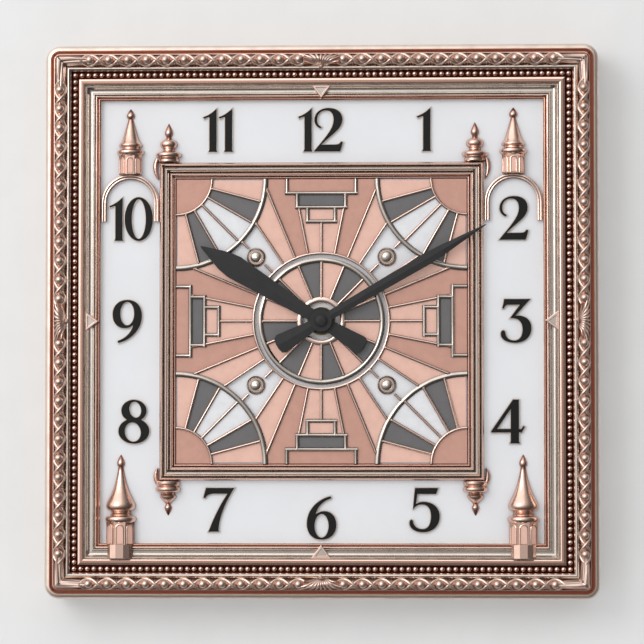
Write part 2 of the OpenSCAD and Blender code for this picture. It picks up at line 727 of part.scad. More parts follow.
module border(inset, w, section_h) {
    color_half = [plaque_x - inset, plaque_y - inset];
    mitred(color_half[0], color_half[1], w, plate_z + section_h + cut)
        polygon(bar_section(w / 2, w, plate_z, section_h));
}
module border_outer() { color(rose) in_face() border(0, border_outer_w, 0.8 * border_h); }
module border_mid() {
    color(champagne) in_face() border(border_outer_w + border_gap, border_mid_w, border_h);
}
module border_inner() {
    inset = border_outer_w + border_mid_w + 2 * border_gap;
    color(rose) in_face() {
        border(inset, 0.6 * border_inner_w, 0.9 * border_h);
        border(inset + 0.6 * border_inner_w, 0.4 * border_inner_w, 0.6 * border_h);
    }
}

module wedge_2d(a0, a1, r) {
    mid = (a0 + a1) / 2;
    polygon([[0, 0], r * [cos(a0), sin(a0)], 1.2 * r * [cos(mid), sin(mid)], r * [cos(a1), sin(a1)]]);
}
module field_2d() { square(2 * [field_x, field_y], center = true); }
module in_corners() {
    for (sx = [-1, 1], sy = [-1, 1]) translate([sx * field_x, sy * field_y]) children();
}
// The middles of the four sides, with y pointing into the field
module at_sides() {
    for (side = [0 : 3])
        rotate(90 * side) translate([0, -(side % 2 == 0 ? field_y : field_x)]) children();
}
function step_half(i) = step_w - i * step_narrow;
module steps_2d(grow) {
    for (i = [0 : steps - 1]) translate([-step_half(i) - grow, -cut])
        square([2 * (step_half(i) + grow), (i + 1) * step_h + grow + cut]);
}
module step_band_2d(i) {
    translate([-step_half(i), i * step_h]) square([2 * step_half(i), step_h]);
}
module bosses_2d(r) {
    for (sx = [-1, 1], sy = [-1, 1]) translate([sx * boss_place[0], sy * boss_place[1]]) circle(r);
}
// The open ground between the roundel, the fans, the steps and the bosses
module sun_2d(grow) {
    difference() {
        field_2d();
        circle(sun_r - grow);
        in_corners() circle(fan_r + main_rib_w / 2 + rib_joint - grow);
        at_sides() steps_2d(0.35 * main_rib_w + rib_joint - grow);
        bosses_2d(boss_r + fine_rib_w - grow);
    }
}

module spoke(a, r0, r1, w) {
    rotate(a) translate([r0, 0, 0]) rotate([90, 0, 90]) linear_extrude(r1 - r0)
        polygon(bar_section(0, w, 0, rib_h));
}
module spoke_2d(a, r0, r1, w) { rotate(a) translate([r0, -w / 2]) square([r1 - r0, w]); }
module ring(r, w, h) {
    rotate_extrude() polygon([for (p = bar_section(0, w, 0, h)) p + [r, 0]]);
}
module fan_ring(r, w, h) {
    for (sx = [0, 1], sy = [0, 1]) mirror([sx, 0]) mirror([0, sy]) translate([field_x, field_y, 0])
        rotate(180) rotate_extrude(angle = 90) polygon([for (p = bar_section(0, w, 0, h)) p + [r, 0]]);
}
petal_r0 = hub_ring_r + 0.4 * main_rib_w;
rib_joint = 0.02;
petal_r1 = roundel_r - main_rib_w / 2 - rib_joint;
fan_r0 = fan_inner_r + 0.4 * fine_rib_w;
fan_r1 = fan_r - main_rib_w / 2 - rib_joint;
ray_r1 = norm([field_x, field_y]);

module rose_ribs() {
    color(rose) in_face() at_z(plate_z) {
        ring(hub_ring_r, main_rib_w, rib_h);
        ring(second_ring_r, fine_rib_w, 0.8 * rib_h);
        for (i = [0 : petals - 1]) spoke(360 * i / petals, petal_r0, petal_r1, fine_rib_w);
        intersection() {
            for (i = [0 : rays - 1])
                spoke(360 * i / rays, sun_r - fine_rib_w / 2, ray_r1, fine_rib_w);
            at_z(-cut) linear_extrude(rib_h + 2 * cut) sun_2d(0);
        }
        for (sx = [0, 1], sy = [0, 1]) mirror([sx, 0]) mirror([0, sy])
            translate([field_x, field_y, 0])
                for (i = [1 : fan_parts - 1])
                    spoke(180 + 90 * i / fan_parts, fan_r0, fan_r1, fine_rib_w);
        fan_ring(fan_inner_r, fine_rib_w, rib_h);
    }
}

module step_rib(i) {
    w = 0.7 * main_rib_w;
    x = step_half(i);
    y = (i + 1) * step_h;
    foot = i * step_h;
    for (s = [-1, 1]) translate([s * x, foot, 0]) rotate([90, 0, 180]) mirror([0, 0, 0])
        linear_extrude(y - foot) polygon(bar_section(0, w, 0, rib_h));
    translate([-x - w / 2, y, 0]) rotate([90, 0, 90]) linear_extrude(2 * x + w)
        polygon(bar_section(0, w, 0, rib_h));
}
module champagne_ribs() {
    color(champagne) in_face() at_z(plate_z) {
        ring(roundel_r, main_rib_w, rib_h);
        fan_ring(fan_r, main_rib_w, rib_h);
        at_sides() for (i = [0 : steps - 1]) step_rib(i);
    }
}

// Colour of each part of the pattern: 0 bare plate, 1 blush, 2 dusky, 3 charcoal
ray_tints = [1, 2, 1, 0, 0, 1, 2, 1];
petal_tints = [3, 1];
fan_tints = [1, 3, 1, 1, 3, 1];
step_tints = [2, 3, 1];

// The sectors of one colour between two rings, clear of the spokes between them
module sector_inlays_2d(n, tints, tint, r0, r1) {
    half = fine_rib_w / 2 + inlay_clear;
    a = 180 / n;
    for (i = [0 : n - 1]) if (tints[i % len(tints)] == tint) rotate((2 * i + 1) * a)
        intersection() {
            difference() { circle(r1 - inlay_clear); circle(r0 + inlay_clear); }
            translate([half / sin(a), 0]) wedge_2d(-a, a, r1);
        }
}

module inlay(tint) {
    at_z(plate_z) linear_extrude(inlay_t) {
        if (tint < 3) difference() {
            intersection() {
                sun_2d(-inlay_clear);
                for (i = [0 : rays - 1]) if (ray_tints[i % 8] == tint)
                    wedge_2d(360 * i / rays, 360 * (i + 1) / rays, ray_r1);
                inset_field_2d();
            }
            for (i = [0 : rays - 1])
                spoke_2d(360 * i / rays, sun_r - fine_rib_w / 2, ray_r1, fine_rib_w + 2 * inlay_clear);
        }
        if (tint != 2) sector_inlays_2d(petals, petal_tints, tint, hub_ring_r + main_rib_w / 2,
            roundel_r - main_rib_w / 2);
        if (tint != 2) intersection() {
            inset_field_2d();
            in_corners() sector_inlays_2d(4 * fan_parts, fan_tints, tint,
                fan_inner_r + fine_rib_w / 2, fan_r - main_rib_w / 2);
        }
        if (tint == 2) intersection() {
            inset_field_2d();
            in_corners() circle(fan_inner_r - fine_rib_w / 2 - inlay_clear);
        }
        for (i = [0 : steps - 1]) if (step_tints[i] == tint) at_sides() step_inlay_2d(i);
    }
}
module inset_field_2d() { square(2 * [field_x - inlay_clear, field_y - inlay_clear], center = true); }
module step_inlay_2d(i) {
    w = 0.35 * main_rib_w + inlay_clear;
    foot = i == 0 ? inlay_clear : i * step_h + w;
    translate([-step_half(i) + w, foot])
        square([2 * (step_half(i) - w), (i + 1) * step_h - w - foot]);
}
module inlay_blush() { color(blush) in_face() inlay(1); }
module inlay_dusky() { color(dusky) in_face() inlay(2); }
module inlay_charcoal() { color(charcoal) in_face() inlay(3); }

module plaque_bosses() {
    dome_h = 1.1 * rib_h;
    collar = 0.35 * rib_h;
    dome_r = 0.62 * boss_r;
    color(champagne) in_face() at_z(plate_z)
        for (sx = [-1, 1], sy = [-1, 1]) translate([sx * boss_place[0], sy * boss_place[1], 0])
            rotate_extrude() polygon(concat(
                [[0, 0], [boss_r, 0], [boss_r, collar], [0.86 * boss_r, 1.9 * collar],
                    [0.76 * boss_r, collar], [dome_r, collar]],
                [for (a = [15 : 15 : 90]) [dome_r * cos(a), collar + (dome_h - collar) * sin(a)]]
            ));
}

// TURRETS, FINIALS, ARCHES: half-round turnings that stand on the dial

// Turns a section about an axis that lies on the dial and points up
module half_turned() { rotate([90, 0, 180]) rotate_extrude(angle = 180) children(); }

// Section of a turret over its drum: collar, neck, hollow cone and bud
function turret_section(r, l) = let (
    drum = 0.275 * l, collar_r = 1.22 * r, flare_y = 0.44 * l, flare_r = 1.04 * r,
    cone_y = 0.84 * l, stem_r = 0.19 * r, bud_r = 0.34 * r
) concat(
    [[0, drum], [1.1 * r, drum], [1.1 * r, drum + 0.03 * l], [collar_r, drum + 0.04 * l],
        [collar_r, drum + 0.075 * l], [0.85 * r, drum + 0.09 * l], [0.72 * r, drum + 0.11 * l],
        [0.72 * r, flare_y - 0.03 * l], [0.96 * r, flare_y - 0.015 * l], [flare_r, flare_y]],
    [for (t = [0.1 : 0.1 : 1]) [
        stem_r + (flare_r - stem_r) * pow(1 - t, 1.9), flare_y + (cone_y - flare_y) * t]],
    [for (a = [-60 : 20 : 60]) [bud_r * cos(a), 0.9 * l + 0.055 * l * sin(a) / sin(60)]],
    [[0.1 * r, 0.975 * l], [0, l]]
);
// Round-headed niche, cut into a drum of radius r at angle a from the front
module niche(r, a, y, w, h) {
    depth = 0.16 * r;
    rotate(a) translate([0, r - depth, y]) rotate([-90, 0, 0]) {
        translate([-w / 2, -h, 0]) cube([w, h, r]);
        translate([0, -h, 0]) cylinder(r = w / 2, h = r);
    }
}
// Half of an eight-sided prism with its flat sides at the distance r from the axis, one to the front
module half_prism(r, h) {
    half = r * tan(180 / facets);
    linear_extrude(h) polygon([[-r, 0], [-r, half], [-half, r], [half, r], [r, half], [r, 0]]);
}
facets = 8;
module turret(r, l) {
    drum = 0.275 * l;
    w = 0.5 * r;
    rotate([90, 0, 180]) {
        rotate_extrude(angle = 180) polygon(turret_section(r, l));
        difference() {
            half_prism(r, drum + 0.02 * l);
            for (k = [-1 : 1]) niche(r, k * 360 / facets, 0.03 * l, w, drum - 0.03 * l - 0.6 * w);
        }
    }
}

module arch_hoods() {
    section = concat([[arch_w / 2, 0], [-arch_w / 2, 0]],
        crown(-arch_w / 2, 0, 0.55 * arch_h, 0.3 * arch_h, 5),
        crown(0, arch_w / 2, 0.7 * arch_h, 0.3 * arch_h, 5));
    color(rose) in_face() at_z(dial_z) both_sides() translate([arch_x, arch_y, 0]) {
        rotate_extrude(angle = 180) polygon([for (p = section) [arch_r + p[0], p[1]]]);
        for (s = [0, 1]) mirror([s, 0, 0]) translate([arch_r, 0, 0]) rotate([90, 0, 0])
            linear_extrude(arch_leg) polygon(section);
    }
}

module upper_turrets() {
    color(rose) in_face() at_z(dial_z) both_sides() translate([arch_x, turret_y, 0])
        turret(turret_r, turret_l);
}

module lower_turrets() {
    y = -sight_half;
    drum_foot = y - plinth_l + 0.86 * plinth_l;
    over = seat_z + max(cove_h, sight_h) + 0.1;
    plinth_r = 1.14 * tower_r;
    color(rose) in_face() both_sides() translate([tower_x, drum_foot, 0]) difference() {
        union() {
            at_z(dial_z) turret(tower_r, tower_l);
            at_z(dial_z) translate([0, -plinth_l, 0]) rotate([90, 0, 180]) half_prism(plinth_r, plinth_l);
        }
        translate([-2 * tower_r, y - drum_foot + keystone_clear - 2 * plinth_l, 0])
            cube([4 * tower_r, 2 * plinth_l, over]);
    }
}

finial_x = plaque_x - 0.72 * finial_r;
// Scroll that hangs from a collar beside the plaque's edge: a slim bow with a pointed end
module scroll(w, h, rise) {
    linear_extrude(scroll_t) polygon(concat(
        [[0, rise], [0.55 * w, rise]],
        curve([0.55 * w, rise], [1.1 * w, 0.2 * rise], [1.2 * w, -0.62 * h], [0, -h], 8),
        curve([0, -h], [0.45 * w, -0.72 * h], [0.55 * w, -0.3 * h], [0.3 * w, 0], 6)
    ));
}
scroll_t = 2;
scroll_w = 3.2;
scroll_h = 8.4;
scroll_x = plaque_x - finial_x + 2 * border_gap;
module corner_finials() {
    r = finial_r;
    l = finial_l;
    color(rose) in_face() at_z(dial_z) both_sides() translate([finial_x, plaque_y + border_gap, 0]) {
        translate([scroll_x, 0, 0]) scroll(scroll_w, scroll_h, 0.2 * l);
        half_turned() polygon(concat(
            [[0, 0], [0.8 * r, 0], [0.8 * r, 0.09 * l], [0.74 * r, 0.11 * l], [r, 0.16 * l],
                [r, 0.22 * l], [0.8 * r, 0.27 * l], [0.44 * r, 0.3 * l]],
            [for (a = [-45 : 20 : 75]) [0.67 * r * cos(a), 0.46 * l + 0.14 * l * sin(a)]],
            [[0.19 * r, 0.63 * l]],
            [for (a = [-40 : 35 : 30]) [0.32 * r * cos(a), 0.745 * l + 0.1 * l * sin(a)]],
            [[0.12 * r, 0.92 * l], [0, l]]
        ));
    }
}
// The finial's counterpart under the plaque: a short turned drop
module corner_pendants() {
    r = finial_r;
    l = 0.87 * finial_l;
    color(rose) in_face() at_z(dial_z) both_sides()
        translate([finial_x, -plaque_y - border_gap, 0]) mirror([0, 1, 0]) {
            translate([scroll_x, 0, 0]) scroll(scroll_w, 0.75 * scroll_h, 0.1 * l);
            half_turned() polygon(concat(
                [[0, 0], [0.91 * r, 0], [0.91 * r, 0.11 * l], [0.8 * r, 0.15 * l], [0.95 * r, 0.2 * l],
                    [0.95 * r, 0.27 * l], [0.8 * r, 0.31 * l], [0.48 * r, 0.34 * l]],
                [for (a = [-35 : 21 : 70])
                    [0.64 * r * cos(a), 0.45 * l + (a < 0 ? 0.1 : 0.19) * l * sin(a)]],
                [[0.18 * r, 0.67 * l]],
                [for (a = [-40 : 35 : 30]) [0.29 * r * cos(a), 0.76 * l + 0.09 * l * sin(a)]],
                [[0.13 * r, 0.915 * l], [0, l]]
            ));
        }
}

// HANDS

tube_r = 2.5 * mu;
arbor_r = 1.6 * mu;
module hand(l, w, wide_share, root_w, hub_r, tail_w, bore) {
    wide_y = wide_share * l;
    side = [
        [0, -tail_l], [0.4 * tail_w, -0.98 * tail_l], [tail_w / 2, -0.9 * tail_l],
        [root_w / 2, 0], [w / 2, wide_y], [0.42 * w, wide_y + 0.09 * l], [0.06 * w, 0.985 * l], [0, l]
    ];
    other = [for (i = [len(side) - 2 : -1 : 1]) [-side[i][0], side[i][1]]];
    difference() {
        union() {
            cylinder(r = hub_r, h = hand_t);
            linear_extrude(hand_t) polygon(concat(side, other));
        }
        at_z(-cut) cylinder(r = bore, h = hand_t + 2 * cut);
    }
}
module hour_hand() {
    color(black) in_face() at_z(hour_z) rotate(-hour_angle)
        hand(hour_l, hour_w, 0.72, 0.42 * hour_w, 2.66 * tube_r, 0.79 * hour_w, tube_r);
}
module minute_hand() {
    color(black) in_face() at_z(minute_z) rotate(-minute_angle)
        hand(minute_l, minute_w, 0.645, 0.72 * minute_w, 3.4 * arbor_r, 1.62 * minute_w, arbor_r);
}
module hand_cap() {
    color(black) in_face() at_z(minute_z + hand_t) difference() {
        rotate_extrude() polygon(concat([[0, 0], [cap_r, 0], [cap_r, 0.5 * cap_h]],
            [for (a = [15 : 15 : 90]) [cap_r * cos(a), 0.5 * cap_h + 0.5 * cap_h * sin(a)]]));
        at_z(-cut) cylinder(r = arbor_r, h = cut + cap_h / 2);
    }
}

// MOVEMENT

inner_half = movement_w / 2 - movement_wall;
bay_cell_d = cell_d * mu;
bay_cell_l = cell_l * mu;
cavity_z0 = movement_z + cover_t;
cavity_z1 = movement_front - movement_wall;
bay_h = bay_cell_d + 2 * knob_gap;
bay_y0 = -inner_half;
bay_y1 = bay_y0 + bay_h;
train_y0 = bay_y1 + movement_wall;
cell_y = bay_y0 + bay_h / 2;
layer = 2 * wheel_t;

// Teeth and centre distances of the two trains
rotor_teeth = 8;
mid_teeth = 48;
pinion_teeth = 8;
seconds_teeth = 40;
third_teeth = 60;
centre_teeth = 64;
cannon_teeth = 12;
minute_teeth = 36;
minute_pinion_teeth = 10;
hour_teeth = 40;
hand_m = hand_module * mu;
train_m = train_module * mu;
mid_m = mid_module * mu;
third_dist = train_m * (third_teeth + pinion_teeth) / 2;
centre_module = 2 * third_dist / (centre_teeth + pinion_teeth);
mid_dist = mid_m * (seconds_teeth + pinion_teeth) / 2;
rotor_dist = train_m * (mid_teeth + rotor_teeth) / 2;
minute_dist = hand_m * (cannon_teeth + minute_teeth) / 2;
hour_module = 2 * minute_dist / (hour_teeth + minute_pinion_teeth);
third_dir = 35;
mid_dir = 150;
rotor_dir = 190;
minute_dir = 110;
knob_dir = 90;
function polar(r, a) = r * [cos(a), sin(a)];
third_at = polar(third_dist, third_dir);
mid_at = polar(mid_dist, mid_dir);
rotor_at = mid_at + polar(rotor_dist, rotor_dir);
minute_at = polar(minute_dist, minute_dir);
knob_at = minute_at + polar(minute_dist, knob_dir);

// Levels of the wheels, each worked out from the one behind it
mid_z = cavity_z0 + 0.8;
seconds_z = mid_z + layer;
third_z = seconds_z + layer;
arbor_z = third_z + 1.3 + wheel_t / 3;
centre_z = third_z + 3 * wheel_t;
plate_z0 = centre_z + 1.6;
train_plate_t = 0.8;
motion_z = plate_z0 + train_plate_t + 0.4;
hour_wheel_z = cavity_z1 - 0.4 - 2 * wheel_t;
knob_shaft_r = 1.2;

// A wheel's outline: slim straight-sided teeth on a root circle
function gear_points(n, m, phase, add_share, ded_share, root_share, tip_share) = let (
    r0 = m * (n / 2 - ded_share), r1 = m * (n / 2 + add_share), step = 360 / n
) [
    for (i = [0 : n - 1], k = [0 : 3]) let (
        a = phase + step * (i + [-root_share, -tip_share, tip_share, root_share][k])
    ) polar(k == 0 || k == 3 ? r0 : r1, a)
];
module wheel_2d(n, m, phase) { polygon(gear_points(n, m, phase, 0.7, 0.95, 0.27, 0.1)); }
module pinion_2d(n, m, phase) { polygon(gear_points(n, m, phase, 0.6, 0.95, 0.2, 0.09)); }
// Phase of a wheel of n2 teeth that meshes in direction dir with one of n1 teeth at phase p1
function mesh_phase(n1, p1, dir, n2) = let (u = (dir - p1) * n1 / 360)
    dir + 180 - (0.5 - (u - floor(u))) * 360 / n2;

// Wheel with round windows that leave a rim, a hub and arms
module wheel(n, m, phase, t, windows = 5) {
    r = m * n / 2;
    hole = 0.2 * r;
    linear_extrude(t) difference() {
        wheel_2d(n, m, phase);
        if (windows > 0) for (i = [0 : windows - 1])
            rotate(phase + 360 * (i + 0.5) / windows) translate([0.6 * r, 0]) circle(hole);
    }
}

seconds_phase = 0;
mid_pinion_phase = mesh_phase(seconds_teeth, seconds_phase, mid_dir, pinion_teeth);
mid_phase = 0;
rotor_phase = mesh_phase(mid_teeth, mid_phase, rotor_dir, rotor_teeth);
seconds_pinion_phase = 0;
third_phase = mesh_phase(pinion_teeth, seconds_pinion_phase, third_dir, third_teeth);
third_pinion_phase = 0;
centre_phase = mesh_phase(pinion_teeth, third_pinion_phase, third_dir + 180, centre_teeth);
cannon_phase = 0;
minute_phase = mesh_phase(cannon_teeth, cannon_phase, minute_dir, minute_teeth);
minute_pinion_phase = 0;
hour_phase = mesh_phase(minute_pinion_teeth, minute_pinion_phase, minute_dir + 180, hour_teeth);
knob_phase = mesh_phase(minute_teeth, minute_phase, knob_dir, cannon_teeth);

pivot_depth = 0.8;
plate_pivots = [third_at, mid_at, rotor_at];

module pivot_pin(z0, z1, r = pivot_r) { at_z(z0) cylinder(r = r, h = z1 - z0, $fn = 24); }
module at_xy(p) { translate([p[0], p[1], 0]) children(); }

module rotor() {
    color(steel) in_face() at_xy(rotor_at) {
        pivot_pin(cavity_z0 - pivot_depth, plate_z0 + pivot_depth);
        at_z(mid_z - 0.1) linear_extrude(wheel_t + 0.2) pinion_2d(rotor_teeth, train_m, rotor_phase);
        at_z(seconds_z + wheel_t) cylinder(r = magnet_r, h = 4 * wheel_t);
    }
}
module intermediate_wheel() {
    color(white) in_face() at_xy(mid_at) {
        pivot_pin(cavity_z0 - pivot_depth, plate_z0 + pivot_depth);
        at_z(mid_z) wheel(mid_teeth, train_m, mid_phase, wheel_t);
        at_z(mid_z + wheel_t) linear_extrude(3 * wheel_t)
            pinion_2d(pinion_teeth, mid_m, mid_pinion_phase);
    }
}
module seconds_wheel() {
    color(white) in_face() {
        pivot_pin(cavity_z0 - pivot_depth, arbor_z + pivot_depth);
        at_z(seconds_z) wheel(seconds_teeth, mid_m, seconds_phase, wheel_t);
        at_z(seconds_z + wheel_t) linear_extrude(2.6 * wheel_t)
            pinion_2d(pinion_teeth, train_m, seconds_pinion_phase);
    }
}
module third_wheel() {
    color(white) in_face() at_xy(third_at) {
        pivot_pin(cavity_z0 - pivot_depth, plate_z0 + pivot_depth);
        at_z(third_z) wheel(third_teeth, train_m, third_phase, wheel_t);
        at_z(third_z + wheel_t) linear_extrude(3.8 * wheel_t)
            pinion_2d(pinion_teeth, centre_module, third_pinion_phase);
    }
}
module centre_wheel() {
    hub = 0.3 * centre_module * centre_teeth / 2;
    color(white) in_face() difference() {
        union() {
            at_z(centre_z) wheel(centre_teeth, centre_module, centre_phase, wheel_t);
            at_z(centre_z) cylinder(r = hub, h = 2 * wheel_t);
        }
        at_z(centre_z - cut) cylinder(r = arbor_r + run_clear, h = 2 * wheel_t + 2 * cut);
    }
}
module minute_arbor() {
    top = minute_z + hand_t + cap_h / 2;
    color(brass) in_face() difference() {
        union() {
            at_z(arbor_z) cylinder(r = arbor_r, h = top - arbor_z);
            at_z(motion_z) linear_extrude(3 * wheel_t) pinion_2d(cannon_teeth, hand_m, cannon_phase);
        }
        at_z(arbor_z - cut) cylinder(r = pivot_r + run_clear, h = cut + 2 * pivot_depth);
    }
}
module minute_wheel() {
    color(white) in_face() at_xy(minute_at) {
        pivot_pin(plate_z0 + train_plate_t - pivot_depth, cavity_z1 + 0.7 * pivot_depth);
        at_z(motion_z + wheel_t / 3) wheel(minute_teeth, hand_m, minute_phase, wheel_t, 0);
        at_z(motion_z + 4 * wheel_t / 3)
            linear_extrude(hour_wheel_z + wheel_t - motion_z)
                pinion_2d(minute_pinion_teeth, hour_module, minute_pinion_phase);
    }
}
module hour_wheel() {
    color(brass) in_face() difference() {
        union() {
            at_z(hour_wheel_z) linear_extrude(1.3 * wheel_t) wheel_2d(hour_teeth, hour_module, hour_phase);
            at_z(hour_wheel_z) cylinder(r = tube_r, h = hour_z + hand_t + hand_gap / 3 - hour_wheel_z);
        }
        at_z(hour_wheel_z - cut) cylinder(r = arbor_r + run_clear, h = minute_z - hour_wheel_z + 2 * cut);
    }
}
module setting_knob() {
    grips = 18;
    color(plastic) in_face() at_xy(knob_at) {
        difference() {
            at_z(knob_gap) cylinder(r = knob_r, h = knob_t);
            for (i = [0 : grips - 1]) rotate(360 * i / grips) translate([knob_r, 0, knob_gap - cut])
                cylinder(r = 0.09 * knob_r, h = knob_t + 2 * cut, $fn = 16);
        }
        pivot_pin(knob_gap + knob_t, motion_z, knob_shaft_r);
        at_z(motion_z) linear_extrude(2.4 * wheel_t) pinion_2d(cannon_teeth, hand_m, knob_phase);
        pivot_pin(motion_z, cavity_z1 + 0.7 * pivot_depth);
    }
}

// Arrangement of the fixed parts round the train
post_r = 1.4 * mu;
plate_half_x = 0.8 * inner_half;
plate_y1 = 0.53 * inner_half;
post_places = [
    for (x = [-0.715, 0.715]) for (y = [train_y0 + 1.2 * post_r, plate_y1 - 1.1 * post_r])
        [x * inner_half, y]
];
module train_plate() {
    y0 = train_y0 + 2 * knob_gap / 3;
    color(brass) in_face() at_z(plate_z0) linear_extrude(train_plate_t) difference() {
        translate([-plate_half_x, y0]) square([2 * plate_half_x, plate_y1 - y0]);
        circle(arbor_r + run_clear);
        for (p = plate_pivots) translate(p) circle(pivot_r + run_clear);
        translate(minute_at) circle(pivot_r + run_clear);
    }
}
board_w = 19 * mu;
board_d = 8.4 * mu;
board_at = [inner_half - board_w / 2 - knob_gap, inner_half - board_d / 2 - knob_gap];
circuit_z = cavity_z0 + 1;
circuit_t = 1;
module movement_cover() {
    color(plastic) in_face() {
        difference() {
            union() {
                at_z(movement_z) linear_extrude(cover_t) difference() {
                    rounded_rect(movement_w, movement_w, 2 * movement_wall);
                    translate([0, cell_y]) square([2 * inner_half, bay_h], center = true);
                    translate(knob_at) circle(knob_shaft_r + run_clear);
                }
                for (p = post_places) at_xy(p) at_z(cavity_z0) cylinder(r = post_r, h = plate_z0 - cavity_z0);
                for (x = [-0.3, 0.3]) at_z(cavity_z0) translate([board_at[0] + x * board_w, board_at[1], 0])
                    cylinder(r = post_r, h = circuit_z - cavity_z0);
                for (x = [0.3, 0.88]) translate([-x * inner_half, coil_y, cavity_z0])
                    cylinder(r = post_r, h = stator_z - cavity_z0);
            }
            for (p = [[0, 0], third_at, mid_at, rotor_at]) at_xy(p) at_z(cavity_z0 - pivot_depth)
                cylinder(r = pivot_r + run_clear, h = cut + pivot_depth, $fn = 24);
        }
    }
}
module movement_case() {
    wall_z = cavity_z0;
    color(plastic) in_face() difference() {
        union() {
            at_z(wall_z) linear_extrude(movement_front - wall_z)
                rounded_rect(movement_w, movement_w, 2 * movement_wall);
            at_z(movement_front) cylinder(r = bush_r, h = bush_top - movement_front);
        }
        at_z(wall_z - cut) linear_extrude(cavity_z1 - wall_z + cut) polygon([
            [-inner_half, train_y0], [inner_half, train_y0],
            [inner_half, inner_half], [-inner_half, inner_half]
        ]);
        at_z(wall_z - cut) linear_extrude(movement_front - wall_z - 0.6 * movement_wall + cut)
            translate([0, cell_y]) square([2 * inner_half, bay_h], center = true);
        at_z(cavity_z1 - cut) cylinder(r = tube_r + run_clear, h = bush_top);
        for (p = [minute_at, knob_at]) at_xy(p) at_z(cavity_z1 - cut)
            cylinder(r = pivot_r + run_clear, h = cut + pivot_depth, $fn = 24);
    }
}
module movement_gasket() {
    color(rubber) in_face() at_z(movement_front) linear_extrude(gasket_t) difference() {
        circle(0.43 * movement_w);
        circle(bush_r + board_clear);
    }
}
module bush_washer() {
    color(brass) in_face() at_z(plate_z) linear_extrude(washer_t) difference() {
        circle(washer_r);
        circle(bush_r + run_clear);
    }
}
module bush_nut() {
    color(brass) in_face() at_z(plate_z + washer_t) difference() {
        cylinder(r = nut_af / 2 / cos(30), h = nut_t, $fn = 6);
        at_z(-cut) cylinder(r = bush_r + run_clear, h = nut_t + 2 * cut);
    }
}

// Stepping motor: a flat stator round the rotor, joined through the coil
stator_z = seconds_z + 2.3 * wheel_t;
stator_t = 1;
stator_arm = 3.4 * mu;
stator_x0 = -0.94 * inner_half;
stator_x1 = -0.27 * inner_half;
coil_y = 0.75 * inner_half;
stator_y1 = coil_y + 0.7 * stator_arm;
stator_y0 = rotor_at[1] - 5.6 * mu;
stator_side = 5.2 * mu;
stator_foot_y = rotor_at[1] + stator_side;
stator_rise = 2 * mu;
magnet_r = 3 * mu;
rotor_hole_r = magnet_r + 0.5 * mu;
module stator() {
    color(steel) in_face() {
        at_z(stator_z) linear_extrude(stator_t) difference() {
            polygon([
                [stator_x0, stator_y0], [rotor_at[0] + stator_side, stator_y0],
                [rotor_at[0] + stator_side, stator_foot_y], [stator_x1, stator_foot_y + stator_rise],
                [stator_x1, stator_y1], [stator_x1 - stator_arm, stator_y1],
                [stator_x1 - stator_arm, stator_foot_y + stator_rise + stator_arm],
                [rotor_at[0], stator_foot_y + stator_arm],
                [stator_x0 + stator_arm, stator_foot_y], [stator_x0 + stator_arm, stator_y1],
                [stator_x0, stator_y1]
            ]);
            translate(rotor_at) circle(rotor_hole_r);
        }
        at_z(stator_z + stator_t) translate([stator_x0, coil_y - 1, 0])
            cube([stator_x1 - stator_x0, 2, stator_t]);
    }
}
core_z = stator_z + 1.5 * stator_t;
bobbin_l = stator_x1 - stator_x0 - 2 * stator_arm - 2 * knob_gap;
bobbin_x = (stator_x0 + stator_x1) / 2;
bobbin_r = 3.3 * mu;
module along_coil() { translate([bobbin_x, coil_y, core_z]) rotate([0, 90, 0]) children(); }
module coil_bobbin() {
    flange = 0.7;
    color(white) in_face() along_coil() difference() {
        union() {
            cylinder(r = 0.58 * bobbin_r, h = bobbin_l, center = true);
            for (s = [-1, 1]) translate([0, 0, s * (bobbin_l - flange) / 2])
                cylinder(r = bobbin_r, h = flange, center = true);
        }
        cube([stator_t + 2 * run_clear, 2 + 2 * run_clear, 2 * bobbin_l], center = true);
    }
}
module coil_winding() {
    color(copper) in_face() along_coil() difference() {
        cylinder(r = 0.92 * bobbin_r, h = bobbin_l - 1.6, center = true);
        cylinder(r = 0.58 * bobbin_r + run_clear, h = bobbin_l, center = true);
    }
}
module circuit_board() {
    color(green) in_face() block(board_at[0], board_at[1], circuit_z, board_w, board_d, circuit_t);
}
module quartz_crystal() {
    color(steel) in_face() translate([board_at[0] - 0.4 * board_w, board_at[1] + 0.2 * board_d,
        circuit_z + circuit_t + 1]) rotate([0, 90, 0]) cylinder(r = 1, h = 6, $fn = 24);
}
module timing_chip() {
    color(black) in_face() at_z(circuit_z + circuit_t) translate([board_at[0] + 0.22 * board_w, board_at[1], 0])
        cylinder(r1 = 2.4, r2 = 1.6, h = 1, $fn = 32);
}

// Cell in its open bay, between a flat contact and a bowed one
contact_t = 0.4;
cell_z = movement_front - 0.6 * movement_wall - bay_cell_d / 2;
cell_nub = 1.3;
cell_x1 = inner_half - contact_t - knob_gap / 3;
module battery() {
    color("#4a4c50") in_face() translate([cell_x1 - bay_cell_l, cell_y, cell_z]) rotate([0, 90, 0]) {
        cylinder(r = bay_cell_d / 2, h = bay_cell_l - cell_nub);
        cylinder(r = 0.19 * bay_cell_d, h = bay_cell_l);
    }
}
module battery_contacts() {
    h = 0.55 * bay_cell_d;
    gap = cell_x1 - bay_cell_l + inner_half;
    color(steel) in_face() {
        translate([inner_half - contact_t, cell_y - h / 2, cell_z - h / 2]) cube([contact_t, h, h]);
        translate([-inner_half, cell_y + h / 2, cell_z - h / 2]) rotate([90, 0, 0])
            linear_extrude(h) polygon([
                [0, 0], [contact_t, 0], [gap - knob_gap / 3, h / 2 - contact_t],
                [gap - knob_gap / 3, h / 2 + contact_t], [contact_t, h], [0, h],
                [0, h - contact_t], [gap - contact_t - knob_gap / 3, h / 2],
                [0, contact_t]
            ]);
    }
}

// HANGER AND CLIPS

